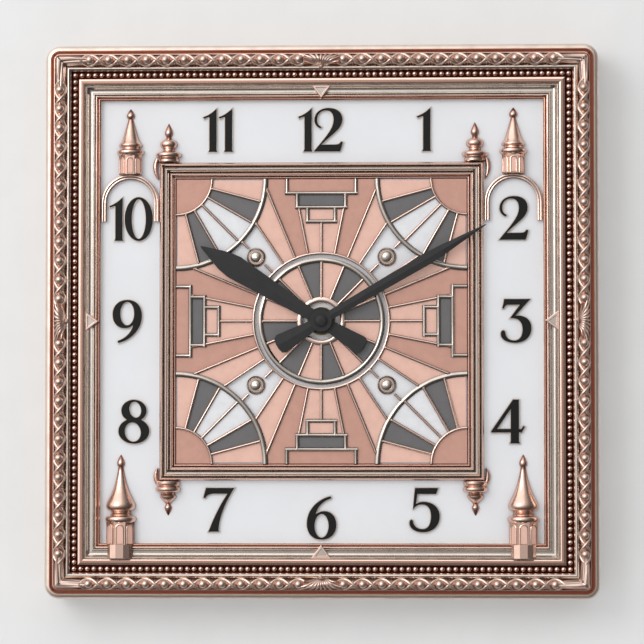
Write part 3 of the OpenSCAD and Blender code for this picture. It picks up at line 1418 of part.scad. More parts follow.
module hanger_plate() {
    color(steel) in_face() difference() {
        translate([0, hanger_mid_y, 0]) linear_extrude(hanger_t)
            rounded_rect(hanger_w - 2 * board_clear, hanger_h - 2 * board_clear, 0.1 * hanger_h);
        translate([0, hanger_y, -cut]) linear_extrude(hanger_t + 2 * cut) keyhole(hanger_r, hanger_slot_r);
        for (s = [-1, 1]) translate([s * hanger_screw_x, hanger_mid_y, 0]) {
            at_z(-cut) cylinder(r = hanger_screw_r + run_clear, h = hanger_t + 2 * cut);
            cylinder(r1 = 2 * hanger_screw_r, r2 = hanger_screw_r + run_clear, h = 0.8 * hanger_t);
        }
    }
}
module hanger_screws() {
    color(steel) in_face() for (s = [-1, 1]) translate([s * hanger_screw_x, hanger_mid_y, 0]) {
        cylinder(r1 = 2 * hanger_screw_r - run_clear, r2 = hanger_screw_r, h = 0.8 * hanger_t);
        cylinder(r = hanger_screw_r, h = hanger_t + 0.9 * hanger_screw_l);
    }
}
module dial_clips() {
    outer = rear_half - 2 * board_clear - ledge_mid;
    color(steel) in_face() clip_places() at_z(board_back - clip_t) difference() {
        translate([0, outer - clip_l / 2, 0]) linear_extrude(clip_t)
            rounded_rect(clip_w, clip_l, 0.3 * clip_w);
        at_z(-cut) cylinder(r = clip_screw_r + run_clear, h = clip_t + 2 * cut);
    }
}
module clip_screws() {
    head = 1.6 * clip_screw_r;
    color(steel) in_face() clip_places() {
        at_z(board_back - clip_t) cylinder(r = clip_screw_r, h = clip_t + 0.45 * clip_screw_l);
        at_z(board_back - 2 * clip_t) difference() {
            cylinder(r = head, h = clip_t);
            at_z(-cut) linear_extrude(cut + 0.5 * clip_t) square([2 * head, 0.3 * head], center = true);
        }
    }
}

case_frame();
outer_fillet();
leaf_moulding();
leaf_berries();
champagne_fillet();
bead_rail();
beads();
rose_fillet();
cove_moulding();
sight_moulding();
side_keystones();
dial_board();
plaque_plate();
border_outer();
border_mid();
border_inner();
inlay_blush();
inlay_dusky();
inlay_charcoal();
rose_ribs();
champagne_ribs();
plaque_bosses();
upper_turrets();
arch_hoods();
corner_finials();
corner_pendants();
lower_turrets();
numeral_backs();
numerals();
hour_hand();
minute_hand();
hand_cap();
bush_washer();
bush_nut();
movement_gasket();
movement_case();
movement_cover();
train_plate();
minute_arbor();
hour_wheel();
minute_wheel();
setting_knob();
centre_wheel();
third_wheel();
seconds_wheel();
intermediate_wheel();
rotor();
stator();
coil_bobbin();
coil_winding();
circuit_board();
quartz_crystal();
timing_chip();
battery_contacts();
battery();
hanger_plate();
hanger_screws();
dial_clips();
clip_screws();
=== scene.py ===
"""Square wall clock in the art deco style: visible pieces, finishes and stage, built over the CAD frame."""

import bmesh
import bpy
import math
from mathutils import Matrix, Vector


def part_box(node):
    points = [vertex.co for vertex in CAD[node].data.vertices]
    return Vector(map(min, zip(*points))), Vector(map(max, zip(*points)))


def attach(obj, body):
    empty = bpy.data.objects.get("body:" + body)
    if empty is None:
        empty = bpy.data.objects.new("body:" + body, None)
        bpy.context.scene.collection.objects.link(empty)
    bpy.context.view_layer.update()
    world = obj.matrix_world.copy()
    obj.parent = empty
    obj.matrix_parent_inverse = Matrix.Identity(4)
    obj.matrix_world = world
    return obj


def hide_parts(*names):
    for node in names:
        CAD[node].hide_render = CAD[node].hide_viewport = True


bl_info = {
    "name": "Art Deco Wall Clock",
    "version": (1, 0, 0),
    "blender": (4, 5, 0),
    "location": "3D View > Sidebar > Clock",
    "description": "Builds a square wall clock with cast mouldings, a relief plaque and turrets",
    "category": "Object",
}

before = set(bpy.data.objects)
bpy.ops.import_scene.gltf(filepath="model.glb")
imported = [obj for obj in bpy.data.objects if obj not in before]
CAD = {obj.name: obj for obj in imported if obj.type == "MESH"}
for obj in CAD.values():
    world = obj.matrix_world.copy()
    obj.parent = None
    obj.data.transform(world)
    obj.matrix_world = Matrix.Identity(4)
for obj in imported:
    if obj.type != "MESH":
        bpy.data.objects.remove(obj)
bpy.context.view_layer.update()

# Shapes are drawn in millimetres on the clock's face: x to the right, y up, z out of the wall,
# zero at the hand axis on the wall plane. MM makes metres of them, ON_ROW takes them to the shared frame.
MM = 0.001
WELD = 2e-6  # metres within which two points are one
HAND_AXIS = (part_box("hand_cap")[0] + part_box("hand_cap")[1]) / 2
ON_ROW = Matrix.Translation((0, 0, HAND_AXIS.z)) @ Matrix.Rotation(math.pi / 2, 4, "X")


def half_size(node):
    """Half the width of a CAD node that is centred on the hand axis."""
    low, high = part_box(node)
    return (high.x - low.x) / 2


def rise(node):
    """How far a CAD node stands out from the wall."""
    return -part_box(node)[0].y


def foot(node):
    """How far the back of a CAD node is from the wall."""
    return -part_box(node)[1].y


# SIZES AND COLOURS THAT A USER MAY CHANGE


def length(name, default, description):
    return bpy.props.FloatProperty(
        name=name, default=default, description=description, unit="LENGTH", precision=5
    )


def number(name, default, description, **more):
    return bpy.props.FloatProperty(name=name, default=default, description=description, **more)


def count(name, default, description):
    return bpy.props.IntProperty(name=name, default=default, description=description, min=1)


def linear(hex_code):
    """The linear value of a colour written as red, green and blue in hexadecimal."""
    parts = [int(hex_code[i : i + 2], 16) / 255 for i in (1, 3, 5)]
    return tuple(p / 12.92 if p <= 0.04045 else ((p + 0.055) / 1.055) ** 2.4 for p in parts)


def tint(name, hex_code, description):
    return bpy.props.FloatVectorProperty(
        name=name, default=linear(hex_code), description=description, subtype="COLOR",
        size=3, min=0.0, max=1.0,
    )


CASE_HALF = half_size("case_frame")


class ClockMouldings(bpy.types.PropertyGroup):
    seat: length("Seat", foot("champagne_fillet"), "Level that the mouldings stand on, out from the wall")
    fillet: length("Outer fillet", half_size("outer_fillet"), "Half width of the outer fillet")
    leaf: length("Leaf band", half_size("leaf_moulding"), "Half width of the leaf and berry band")
    champagne: length("Champagne fillet", half_size("champagne_fillet"), "Half width of the champagne fillet")
    rail: length("Bead rail", half_size("bead_rail"), "Half width of the rail under the beads")
    rose: length("Rose fillet", half_size("rose_fillet"), "Half width of the rose fillet")
    cove: length("Cove", half_size("cove_moulding"), "Half width of the hollow moulding")
    sight: length("Sight reeds", half_size("sight_moulding"), "Half width of the two reeds round the dial")
    opening: length("Opening", 0.1093, "Half width of the visible dial")
    gap: length("Open line", 0.0006, "Gap between the rose fillet and the cove")
    corner: length("Corner radius", 0.007, "Radius of the case's corners")


class ClockBeads(bpy.types.PropertyGroup):
    per_side: count("Beads per side", 74, "Number of beads along each side")
    row: length("Bead row", 0.12185, "Distance of the bead row from the hand axis")
    radius: length("Bead radius", 0.00133, "Radius of one bead")
    level: length("Bead level", 0.0260655, "Level of the beads' centres, out from the wall")


class ClockLeaves(bpy.types.PropertyGroup):
    berries: count("Berries per half side", 12, "Number of berries between a palmette and a corner leaf")
    first: length("First berry", 0.01104, "Distance of the first berry from the middle of its side")
    pitch: length("Berry pitch", 0.0094079, "Distance from berry to berry")
    berry: length("Berry radius", 0.0022, "Radius of one berry")
    side_height: length("Side height", 0.0026, "Height of the band at its edges")
    crown: length("Crown", 0.0022, "Extra height at the middle of the band")
    spread: length("Ribbon spread", 0.0026, "How far the two ribbons swing from the band's middle")
    ribbon: length("Ribbon width", 0.0014, "Width of one ribbon")
    corner_leaf: length("Corner leaf", 0.0165, "Length of the smooth leaf beside each mitre")


class ClockTurrets(bpy.types.PropertyGroup):
    facets: count("Drum facets", 8, "Number of facets round a drum")
    steps: count("Steps of a turning", 28, "Steps round the visible half of a turned piece")
    rim: length("Niche rim", 0.0008, "Width of the bright rim round a niche")
    plaque: length("Plaque", half_size("border_outer"), "Half width of the plaque between the finials")


class ClockColours(bpy.types.PropertyGroup):
    champagne: tint("Champagne", "#DDD1C7", "Champagne plate")
    case: tint("Case", "#EAD8CB", "Champagne plate of the case's sides and back")
    # The recess colours are toned patina and also painted shade in the low parts of the relief.
    champagne_patina_and_shade: tint("Champagne recess", "#6C5F58", "Champagne plate in the recesses")
    rose: tint("Rose gold", "#EFCBBA", "Rose gold plate")
    rose_patina_and_shade: tint("Rose gold recess", "#8C4A3A", "Rose gold plate in the recesses")
    # Painted shade: the darker rose gold on the rose fillet's flat top and on the inner reed.
    rose_painted_shade: tint("Rose gold toned", "#C49A88", "Rose gold plate, softly toned")
    # Rubbed rose gold on the tops, and painted highlight on the rose fillet's slopes, the outer reed and the
    # outer fillet's lip.
    leaf: tint("Rose gold rubbed", "#F2D6C8", "Rose gold plate where it is rubbed bright")
    bronze: tint("Bronze", "#B0806C", "Toned bronze behind the leaf band's ornament")
    bronze_patina_and_shade: tint("Bronze recess", "#4A1F17", "Toned bronze in the recesses")
    copper: tint("Copper", "#9C5C48", "Toned copper in the recesses of the outermost fillet")
    copper_deep: tint("Dark copper", "#8A4632", "Toned copper of the rail under the beads")
    dial: tint("Dial", "#E6E7EA", "Lacquer of the dial")
    blush: tint("Blush", "#E8BBAA", "Palest enamel")
    dusky: tint("Dusky rose", "#C79685", "Middle enamel")
    charcoal: tint("Charcoal", "#676565", "Dark enamel")
    numeral: tint("Numerals", "#121111", "Enamel of the numerals")
    hand: tint("Hands", "#2F2F2F", "Satin finish of the hands")
    wall: tint("Wall", "#E9E9E9", "Paint of the wall")


class ClockStage(bpy.types.PropertyGroup):
    azimuth: number("Camera azimuth", 2.5, "Degrees to the right of the clock's front")
    elevation: number("Camera elevation", -2.5, "Degrees above the clock's middle")
    distance: length("Camera distance", 1.6, "From the camera to the clock's face")
    view_width: length("View width", 0.3167, "Width of the view at the clock's face")
    aim_right: length("Aim right", 0.0004, "How far right of the clock's middle the camera looks")
    aim_down: length("Aim down", 0.00055, "How far below the clock's middle the camera looks")
    key_power: number("Key light", 7.0, "Power of the soft lamp at the upper left", unit="POWER")
    sky: number("Room light", 1.0, "Strength of the light from the room")


# NODE TREES


class Nodes:
    """A shader or geometry tree being built; a value is a plain number or another node's socket."""

    def __init__(self, tree):
        self.tree = tree

    def plug(self, socket, value):
        """Links a socket to another node's output, or sets its plain value."""
        if isinstance(value, bpy.types.NodeSocket):
            self.tree.links.new(value, socket)
        else:
            socket.default_value = value

    def add(self, kind, inputs, output=0, **settings):
        """A new node; a list plugs each of its parts into one socket."""
        node = self.tree.nodes.new(kind)
        for key, value in settings.items():
            setattr(node, key, value)
        for key, value in inputs.items():
            for part in value if isinstance(value, list) else [value]:
                self.plug(node.inputs[key], part)
        return node.outputs[output] if len(node.outputs) else None

    def maths(self, operation, a, b=0.0):
        return self.add("ShaderNodeMath", {0: a, 1: b}, operation=operation)

    def plus(self, a, b):
        return self.maths("ADD", a, b)

    def times(self, a, b):
        return self.maths("MULTIPLY", a, b)

    def vector(self, x=0.0, y=0.0, z=0.0):
        return self.add("ShaderNodeCombineXYZ", {0: x, 1: y, 2: z})


class Growth(Nodes):
    """A geometry tree with named inputs, which ends in Realize Instances and Set Material."""

    def __init__(self, name, inputs):
        super().__init__(bpy.data.node_groups.new(name, "GeometryNodeTree"))
        sockets = self.tree.interface
        sockets.new_socket("Geometry", in_out="OUTPUT", socket_type="NodeSocketGeometry")
        sockets.new_socket("Geometry", in_out="INPUT", socket_type="NodeSocketGeometry")
        for label, kind in {**inputs, "Material": "Material"}.items():
            sockets.new_socket(label, in_out="INPUT", socket_type="NodeSocket" + kind)
        self.source = self.tree.nodes.new("NodeGroupInput").outputs

    def join(self, parts):
        return self.add("GeometryNodeJoinGeometry", {0: parts[::-1]})

    def row(self, start, step, amount, shape):
        """Copies of a shape in a straight row along x."""
        line = self.add("GeometryNodeMeshLine", {
            "Count": amount, "Start Location": self.vector(start), "Offset": self.vector(step),
        })
        return self.add("GeometryNodeInstanceOnPoints", {"Points": line, "Instance": shape})

    def four_sides(self, shape):
        """The same shape on each side of the face."""
        points = self.add("GeometryNodeMeshLine", {"Count": 4, "Offset": (0.0, 0.0, 0.0)})
        turn = self.vector(z=self.times(self.add("GeometryNodeInputIndex", {}), math.pi / 2))
        return self.add("GeometryNodeInstanceOnPoints", {
            "Points": points, "Instance": shape, "Rotation": turn,
        })

    def end(self, geometry, weld=False):
        real = self.add("GeometryNodeRealizeInstances", {"Geometry": geometry})
        if weld:
            real = self.add("GeometryNodeMergeByDistance", {"Geometry": real, "Distance": WELD})
        done = self.add("GeometryNodeSetMaterial", {
            "Geometry": real, "Material": self.source["Material"],
        })
        self.add("NodeGroupOutput", {0: done})
        return self.tree


def grow(name, start, tree, values):
    """An object whose mesh is what a geometry tree makes of the starting mesh."""
    piece = bpy.data.objects.new(name, start)
    bpy.context.scene.collection.objects.link(piece)
    grower = piece.modifiers.new("Growth", "NODES")
    grower.node_group = tree
    for socket in tree.interface.items_tree:
        if socket.in_out == "INPUT" and socket.name in values:
            grower[socket.identifier] = values[socket.name]
    graph = bpy.context.evaluated_depsgraph_get()
    grown = bpy.data.meshes.new_from_object(piece.evaluated_get(graph), depsgraph=graph)
    piece.modifiers.clear()
    piece.data = grown
    return piece


def on_four_sides(name, shape, material, weld=False):
    """An object made of one side's shape, repeated on each side of the face."""
    tree = Growth(name + "_tree", {})
    sides = tree.end(tree.four_sides(tree.source[0]), weld)
    return grow(name, shape.mesh(name), sides, {"Material": material})


# SHAPES


class Shape:
    """Points and faces in millimetres on the clock's face."""

    def __init__(self):
        self.points, self.faces = [], []

    def add(self, points, faces):
        base = len(self.points)
        self.points += [tuple(p) for p in points]
        self.faces += [tuple(base + i for i in face) for face in faces]
        return self

    def mesh(self, name):
        """The shape as a mesh in metres."""
        mesh = bpy.data.meshes.new(name)
        mesh.from_pydata([tuple(c * MM for c in p) for p in self.points], [], self.faces)
        return mesh

    def tube(self, rings, closed=False, capped=True):
        """A skin over rings of points, each a closed loop; the ends are capped unless it closes."""
        n, last = len(rings[0]), len(rings) - 1
        faces = []
        for r in range(len(rings) if closed else last):
            here, there = r * n, (r + 1) % len(rings) * n
            faces += [(here + i, here + (i + 1) % n, there + (i + 1) % n, there + i) for i in range(n)]
        if capped and not closed:
            faces += [tuple(range(n))[::-1], tuple(last * n + i for i in range(n))]
        return self.add([p for ring in rings for p in ring], faces)

    def relief(self, rows, sink=0.0, floor=None):
        """A raised form: rows of points on its upper surface, and a back that lies lower or on a floor."""
        n = len(rows[0])
        top = [p for row in rows for p in row]
        back = [(x, y, z - sink if floor is None else floor) for x, y, z in top]
        at = lambda r, i: r * n + i
        under = len(top)
        faces = []
        for r in range(len(rows) - 1):
            for i in range(n - 1):
                quad = (at(r, i), at(r, i + 1), at(r + 1, i + 1), at(r + 1, i))
                faces += [quad, tuple(under + k for k in quad[::-1])]
        edge = [at(0, i) for i in range(n)] + [at(r, n - 1) for r in range(1, len(rows))]
        edge += [at(len(rows) - 1, i) for i in range(n - 2, -1, -1)]
        edge += [at(r, 0) for r in range(len(rows) - 2, 0, -1)]
        for a, b in zip(edge, edge[1:] + edge[:1]):
            faces.append((b, a, under + a, under + b))
        return self.add(top + back, faces)


def bend(a, b, c, steps):
    """Points on a smooth bend from a to c that leans towards b, with their directions."""
    a, b, c = Vector(a), Vector(b), Vector(c)
    found = []
    for i in range(steps + 1):
        t = i / steps
        place = (1 - t) ** 2 * a + 2 * t * (1 - t) * b + t * t * c
        found.append((t, place, (2 * (1 - t) * (b - a) + 2 * t * (c - b)).normalized()))
    return found


def crown(start, end, side, height, steps=10):
    """A section's rounded top: its distances inward and its heights over the seat."""
    return [
        (start + (end - start) * i / steps, side + height * math.sin(math.pi * i / steps))
        for i in range(steps + 1)
    ]


def finish(piece, angle=35, mitres=False, bevel=0.0, placed=False):
    """Merges, closes and smooths a piece, keeps its true edges crisp, and puts it in the row frame."""
    solid = bmesh.new()
    solid.from_mesh(piece.data)
    bmesh.ops.remove_doubles(solid, verts=solid.verts, dist=WELD)
    if placed:
        flat = math.radians(0.4)
        bmesh.ops.dissolve_limit(solid, angle_limit=flat, verts=solid.verts, edges=solid.edges)
    else:
        bmesh.ops.dissolve_degenerate(solid, dist=1e-7, edges=solid.edges)
        solid.transform(ON_ROW)
    bmesh.ops.recalc_face_normals(solid, faces=solid.faces)
    for face in solid.faces:
        face.smooth = True
    for edge in solid.edges:
        crisp = edge.calc_face_angle(0.0) > math.radians(angle)
        if mitres and not crisp:
            crisp = all(abs(abs(v.co.x) - abs(v.co.z - HAND_AXIS.z)) < WELD for v in edge.verts)
        edge.smooth = not crisp
    solid.to_mesh(piece.data)
    solid.free()
    if bevel:
        soften = piece.modifiers.new("Soft edges", "BEVEL")
        soften.width = bevel * MM
        soften.segments = 2
        soften.limit_method = "ANGLE"
        soften.angle_limit = math.radians(angle)
        soften.miter_outer = "MITER_ARC"
        piece.modifiers.new("Even shading", "WEIGHTED_NORMAL").keep_sharp = True
    return piece


def keep(piece, body, slot, *nodes):
    """The piece rides on its body and stands for its CAD nodes, which it hides; the slot is not used."""
    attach(piece, body)
    if nodes:
        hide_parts(*nodes)
    return piece


def carved(name, shape, material, **finishing):
    """An object from a shape in millimetres."""
    piece = bpy.data.objects.new(name, shape.mesh(name))
    bpy.context.scene.collection.objects.link(piece)
    piece.data.materials.append(material)
    return finish(piece, **finishing)


def only(mesh, wanted):
    """Deletes the solids of a mesh whose middle, in millimetres on the face, isn't wanted."""
    solid = bmesh.new()
    solid.from_mesh(mesh)
    bmesh.ops.remove_doubles(solid, verts=solid.verts, dist=WELD)
    seen, unwanted = set(), []
    for start in solid.verts:
        if start in seen:
            continue
        group, edge = {start}, [start]
        while edge:
            for link in edge.pop().link_edges:
                for vert in link.verts:
                    if vert not in group:
                        group.add(vert)
                        edge.append(vert)
        seen |= group
        middle = sum((vert.co for vert in group), Vector()) / len(group)
        if not wanted(middle.x / MM, (middle.z - HAND_AXIS.z) / MM):
            unwanted += group
    bmesh.ops.delete(solid, geom=unwanted, context="VERTS")
    solid.to_mesh(mesh)
    solid.free()


def fuller(mesh, node, share):
    """Raises the shoulders of crowned bars, so that their crowns keep a share of their rise."""
    base, top = foot(node), rise(node)
    shoulder = base + 0.3 * (top - base)
    for vert in mesh.vertices:
        if -vert.co.y > shoulder:
            vert.co.y = -top + share * (top + vert.co.y)


def recut(node, material, body="root", slot="champagne_metal", bevel=0.0, angle=35,
          wanted=None, crowned=None, name="finished"):
    """A smooth copy of a CAD node with softened edges, which stands for it."""
    piece = bpy.data.objects.new(node + "_" + name, CAD[node].data.copy())
    bpy.context.scene.collection.objects.link(piece)
    if wanted:
        only(piece.data, wanted)
    if crowned:
        fuller(piece.data, node, crowned)
    piece.data.materials.clear()
    piece.data.materials.append(material)
    finish(piece, angle=angle, bevel=bevel, placed=True)
    return keep(piece, body, slot, node)


def paint(material, *nodes):
    """A CAD node keeps its shape and takes a procedural finish."""
    for node in nodes:
        slots = CAD[node].material_slots
        if not slots:
            CAD[node].data.materials.append(material)
        for slot in slots:
            slot.material = material


# FINISHES


class Finish(Nodes):
    """A material in the making, whose patterns follow the object's own coordinates."""

    def __init__(self, name):
        self.material = bpy.data.materials.new(name)
        self.material.use_nodes = True
        super().__init__(self.material.node_tree)
        self.shader = self.tree.nodes["Principled BSDF"]
        self.place = self.add("ShaderNodeTexCoord", {}, output="Object")

    def spots(self, size, detail=2.0, stretch=None):
        """Soft irregular spots of about one size, in millimetres."""
        place = self.place
        if stretch:
            place = self.add("ShaderNodeMapping", {"Vector": place, "Scale": stretch})
        return self.add("ShaderNodeTexNoise", {
            "Vector": place, "Scale": 1 / (size * MM), "Detail": detail, "Roughness": 0.55,
        })

    def cells(self, size):
        return self.add("ShaderNodeTexVoronoi", {"Vector": self.place, "Scale": 1 / (size * MM)})

    def between(self, value, start, end, low=0.0, high=1.0):
        return self.add("ShaderNodeMapRange", {
            0: value, 1: start, 2: end, 3: low, 4: high,
        }, interpolation_type="SMOOTHSTEP")

    def height(self, low, high):
        """0 at the low level, 1 at the high one, both in millimetres out from the wall."""
        depth = self.add("ShaderNodeSeparateXYZ", {0: self.place}, output="Y")
        return self.between(depth, -low * MM, -high * MM)

    def blend(self, share, a, b):
        """The first colour where the share is 0, the second where it is 1."""
        a, b = (c if isinstance(c, bpy.types.NodeSocket) else (*c, 1.0) for c in (a, b))
        return self.add("ShaderNodeMix", {0: share, 6: a, 7: b}, output=2, data_type="RGBA")

    def end(self, colour, rough, bump, depth, strength, **plain):
        """The finished material; the bump's depth is in millimetres."""
        relief = self.add("ShaderNodeBump", {
            "Strength": strength, "Distance": depth * MM, "Height": bump,
        })
        values = {"Base Color": colour, "Roughness": rough, "Normal": relief, **plain}
        for name, value in values.items():
            self.plug(self.shader.inputs[name.replace("_", " ")], value)
        return self.material

    def surface(self, colour, dark, cloud, fine, rough, spread, start=0.35, bump=None, **more):
        """Clouded colour; the fine pattern varies the roughness, and the bump where none is given."""
        tone = self.blend(self.between(cloud, start, 0.7), colour, shaded(colour, dark))
        worn = self.between(fine, 0.3, 0.7, rough - spread[0], rough + spread[1])
        return self.end(tone, worn, fine if bump is None else bump, **more)


def shaded(colour, share):
    return tuple(c * share for c in colour)


def plate(name, colour, deep, low, high, rough):
    """Plated metal coloured by height: the top colour above one level is rubbed plate, and on some mouldings
    a painted highlight; the recess colour below another is toned patina and also painted shade; with soft
    tarnish and fine marks.
    """
    made = Finish(name)
    tarnish = made.spots(7, 3.0)
    marks = made.spots(0.35)
    tone = made.blend(made.between(tarnish, 0.38, 0.7), colour, shaded(colour, 0.9))
    # Painted shade and patina: below the low height the colour turns to the recess colour.
    tone = made.blend(made.between(made.height(low, high), 1.0, 0.0), tone, deep)
    worn = made.between(made.plus(tarnish, made.times(marks, 0.35)), 0.45, 0.9, rough - 0.04, rough + 0.08)
    return made.end(tone, worn, marks, depth=0.004, strength=0.06, Metallic=1.0)


def enamel(name, colour, rough=0.38):
    """Fired enamel: a faint cloudiness, tiny pores and a soft gloss."""
    made = Finish(name)
    return made.surface(colour, 0.93, made.spots(5, 3.0), made.spots(0.3, 1.0), rough, (0.05, 0.07),
                        depth=0.004, strength=0.2, Coat_Weight=0.25, Coat_Roughness=0.12)


def satin(name, colour):
    """Satin paint on a metal blank, with a fine even tooth."""
    made = Finish(name)
    return made.surface(colour, 0.88, made.spots(6), made.spots(0.25, 1.0), 0.55, (0.06, 0.08),
                        depth=0.004, strength=0.25, Specular_IOR_Level=0.25)


def lacquer(name, colour, rough=0.42):
    """Sprayed lacquer with a very fine orange peel."""
    made = Finish(name)
    return made.surface(colour, 0.975, made.spots(24), made.spots(0.8, 1.0), rough, (0.04, 0.05),
                        start=0.3, depth=0.004, strength=0.18)


def moulded(name, colour, rough=0.5, grain=0.5):
    """Moulded plastic or rubber with a spark-eroded grain."""
    made = Finish(name)
    cloud = made.spots(9)
    return made.surface(colour, 0.85, cloud, cloud, rough, (0.05, 0.08), bump=made.cells(grain),
                        depth=0.02, strength=0.35)


def rolled(name, colour, rough=0.34, along=(1.0, 1.0, 14.0)):
    """Rolled or turned metal with fine lines in one direction."""
    made = Finish(name)
    lines = made.spots(1.6, 3.0, stretch=along)
    return made.surface(colour, 0.82, lines, lines, rough, (0.08, 0.12),
                        depth=0.01, strength=0.3, Metallic=1.0)


FINISHES = {}


def mix_finishes():
    """Every finish on the clock, from the colours that the user set."""
    c = bpy.context.scene.clock_colours
    seat = bpy.context.scene.clock_mouldings.seat / MM
    dial = foot("numeral_backs") / MM
    board = foot("border_outer") / MM
    champagne, rose = (c.champagne, c.champagne_patina_and_shade), (c.leaf, c.rose_patina_and_shade)
    # Name, colour of the tops, colour of the recesses, level that the next two heights are over,
    # height where the recess ends, height where the top begins, roughness. The recess colour is toned patina
    # and also painted shade on the low parts of each piece.
    plates = {
        "case": ("champagne_case", c.case, c.champagne_patina_and_shade, seat, -30, -22, 0.45),
        "champagne": ("champagne_moulding", *champagne, seat, 0.3, 2.8, 0.2),
        "cove": ("champagne_cove", *champagne, seat, -0.8, 1.1, 0.22),
        # Painted highlight and shade: the fillet's slopes take the bright rubbed colour, its flat top a
        # darker painted shade.
        "rose": ("rose_moulding", c.rose_painted_shade, c.leaf, seat, 3.38, 3.5, 0.22),
        # Painted highlight and shade: the higher outer reed takes the bright rubbed colour, the lower inner
        # reed a darker painted shade.
        "sight": ("rose_reeds", c.leaf, c.rose_painted_shade, seat, 1.25, 1.7, 0.22),
        "bead": ("rose_beads", *rose, seat, 0.8, 2.2, 0.26),
        # Painted shade: a darker copy of the bronze recess colour fills the rail's groove.
        "rail": ("dark_bead_rail", c.copper_deep, shaded(c.bronze_patina_and_shade, 0.7), seat, 1.6, 2.5, 0.4),
        # Painted highlight: only the top of the inner lip takes the bright rubbed colour, over the fillet's
        # toned copper.
        "outer": ("copper_outer_fillet", c.leaf, c.copper, seat, 3.62, 3.92, 0.3),
        "ground": ("leaf_ground_bronze", c.bronze, c.bronze_patina_and_shade, seat, 1.6, 4.2, 0.3),
        "leaf": ("leaf_and_berry_rose", shaded(c.leaf, 0.84), c.rose_patina_and_shade, seat, 2.2, 3.7, 0.36),
        # Painted shade: the turned pieces darken near the dial, which draws dark outlines at their edges.
        "turret": ("rose_turrets", shaded(c.rose, 0.92), c.rose_patina_and_shade, dial, -0.2, 2.8, 0.2),
        # Painted shade: the arches darken along their low edges.
        "arch": ("rose_arches", *rose, dial, 1.2, 2.4, 0.25),
        "numeral_back": ("numeral_rims", c.champagne, c.rose_patina_and_shade, dial, -0.6, 0.9, 0.4),
        # Painted shade: borders and ribs darken towards their feet on the board.
        "border_rose": ("rose_borders", *rose, board, 0.6, 1.9, 0.22),
        "border_champagne": ("champagne_border", *champagne, board, 0.6, 2.2, 0.22),
        "rib_rose": ("rose_ribs", *rose, board, 1.2, 2.0, 0.22),
        "rib_champagne": ("champagne_ribs", shaded(c.champagne, 0.85), c.champagne_patina_and_shade,
                          board, 1.2, 2.0, 0.2),
    }
    for key, (name, colour, deep, base, low, high, rough) in plates.items():
        FINISHES[key] = plate(name, colour, deep, base + low, base + high, rough)
    FINISHES.update({
        "dial": lacquer("dial_lacquer", c.dial),
        "pearl": enamel("pearl_enamel", c.dial),
        "blush": enamel("blush_enamel", c.blush),
        "dusky": enamel("dusky_enamel", c.dusky),
        "charcoal": enamel("charcoal_enamel", c.charcoal),
        "numeral": satin("black_satin", c.numeral),
        "hand": satin("charcoal_satin", c.hand),
        "brass": rolled("turned_brass", linear("#D2B070")),
        "steel": rolled("zinc_plated_steel", linear("#BFC1C3")),
        "black_plastic": moulded("black_plastic", linear("#2C2C2E")),
        "natural_plastic": moulded("natural_acetal", linear("#E6E3DA"), 0.42, 0.8),
        "rubber": moulded("black_rubber", linear("#1D1D1D"), 0.75, 0.3),
        "copper": rolled("copper_wire", linear("#C06A34"), 0.3, (14.0, 1.0, 1.0)),
        "board": enamel("green_board", linear("#2F6B45"), 0.35),
        "jacket": enamel("cell_jacket", linear("#3F4244"), 0.35),
        "wall": lacquer("wall_paint", c.wall, 0.9),
    })


# THE PIECES


class ClockPiece(bpy.types.Operator):
    """Shared by the operators that build the clock."""

    bl_idname = "clock.piece"
    bl_label = "Clock piece"
    bl_options = {"REGISTER", "UNDO"}

    def execute(self, context):
        if "case_frame" not in CAD:
            raise RuntimeError("The clock's CAD frame isn't loaded")
        if not FINISHES:
            mix_finishes()
        self.build(context.scene)
        return {"FINISHED"}


class CLOCK_OT_case(ClockPiece):
    """Case with its rounded outer edge"""

    bl_idname = "clock.case"
    bl_label = "Case"

    def build(self, scene):
        recut("case_frame", FINISHES["case"], angle=28)


def four_sided(name, sections, half, material):
    """Mitred lengths of closed sections round a square; a section's x runs inward from the edge."""
    shape = Shape()
    for section in sections:
        ends = [[(end * (half - x), half - x, z) for x, z in section] for end in (-1, 1)]
        shape.tube(ends, capped=False)
    return on_four_sides(name, shape, material, weld=True)


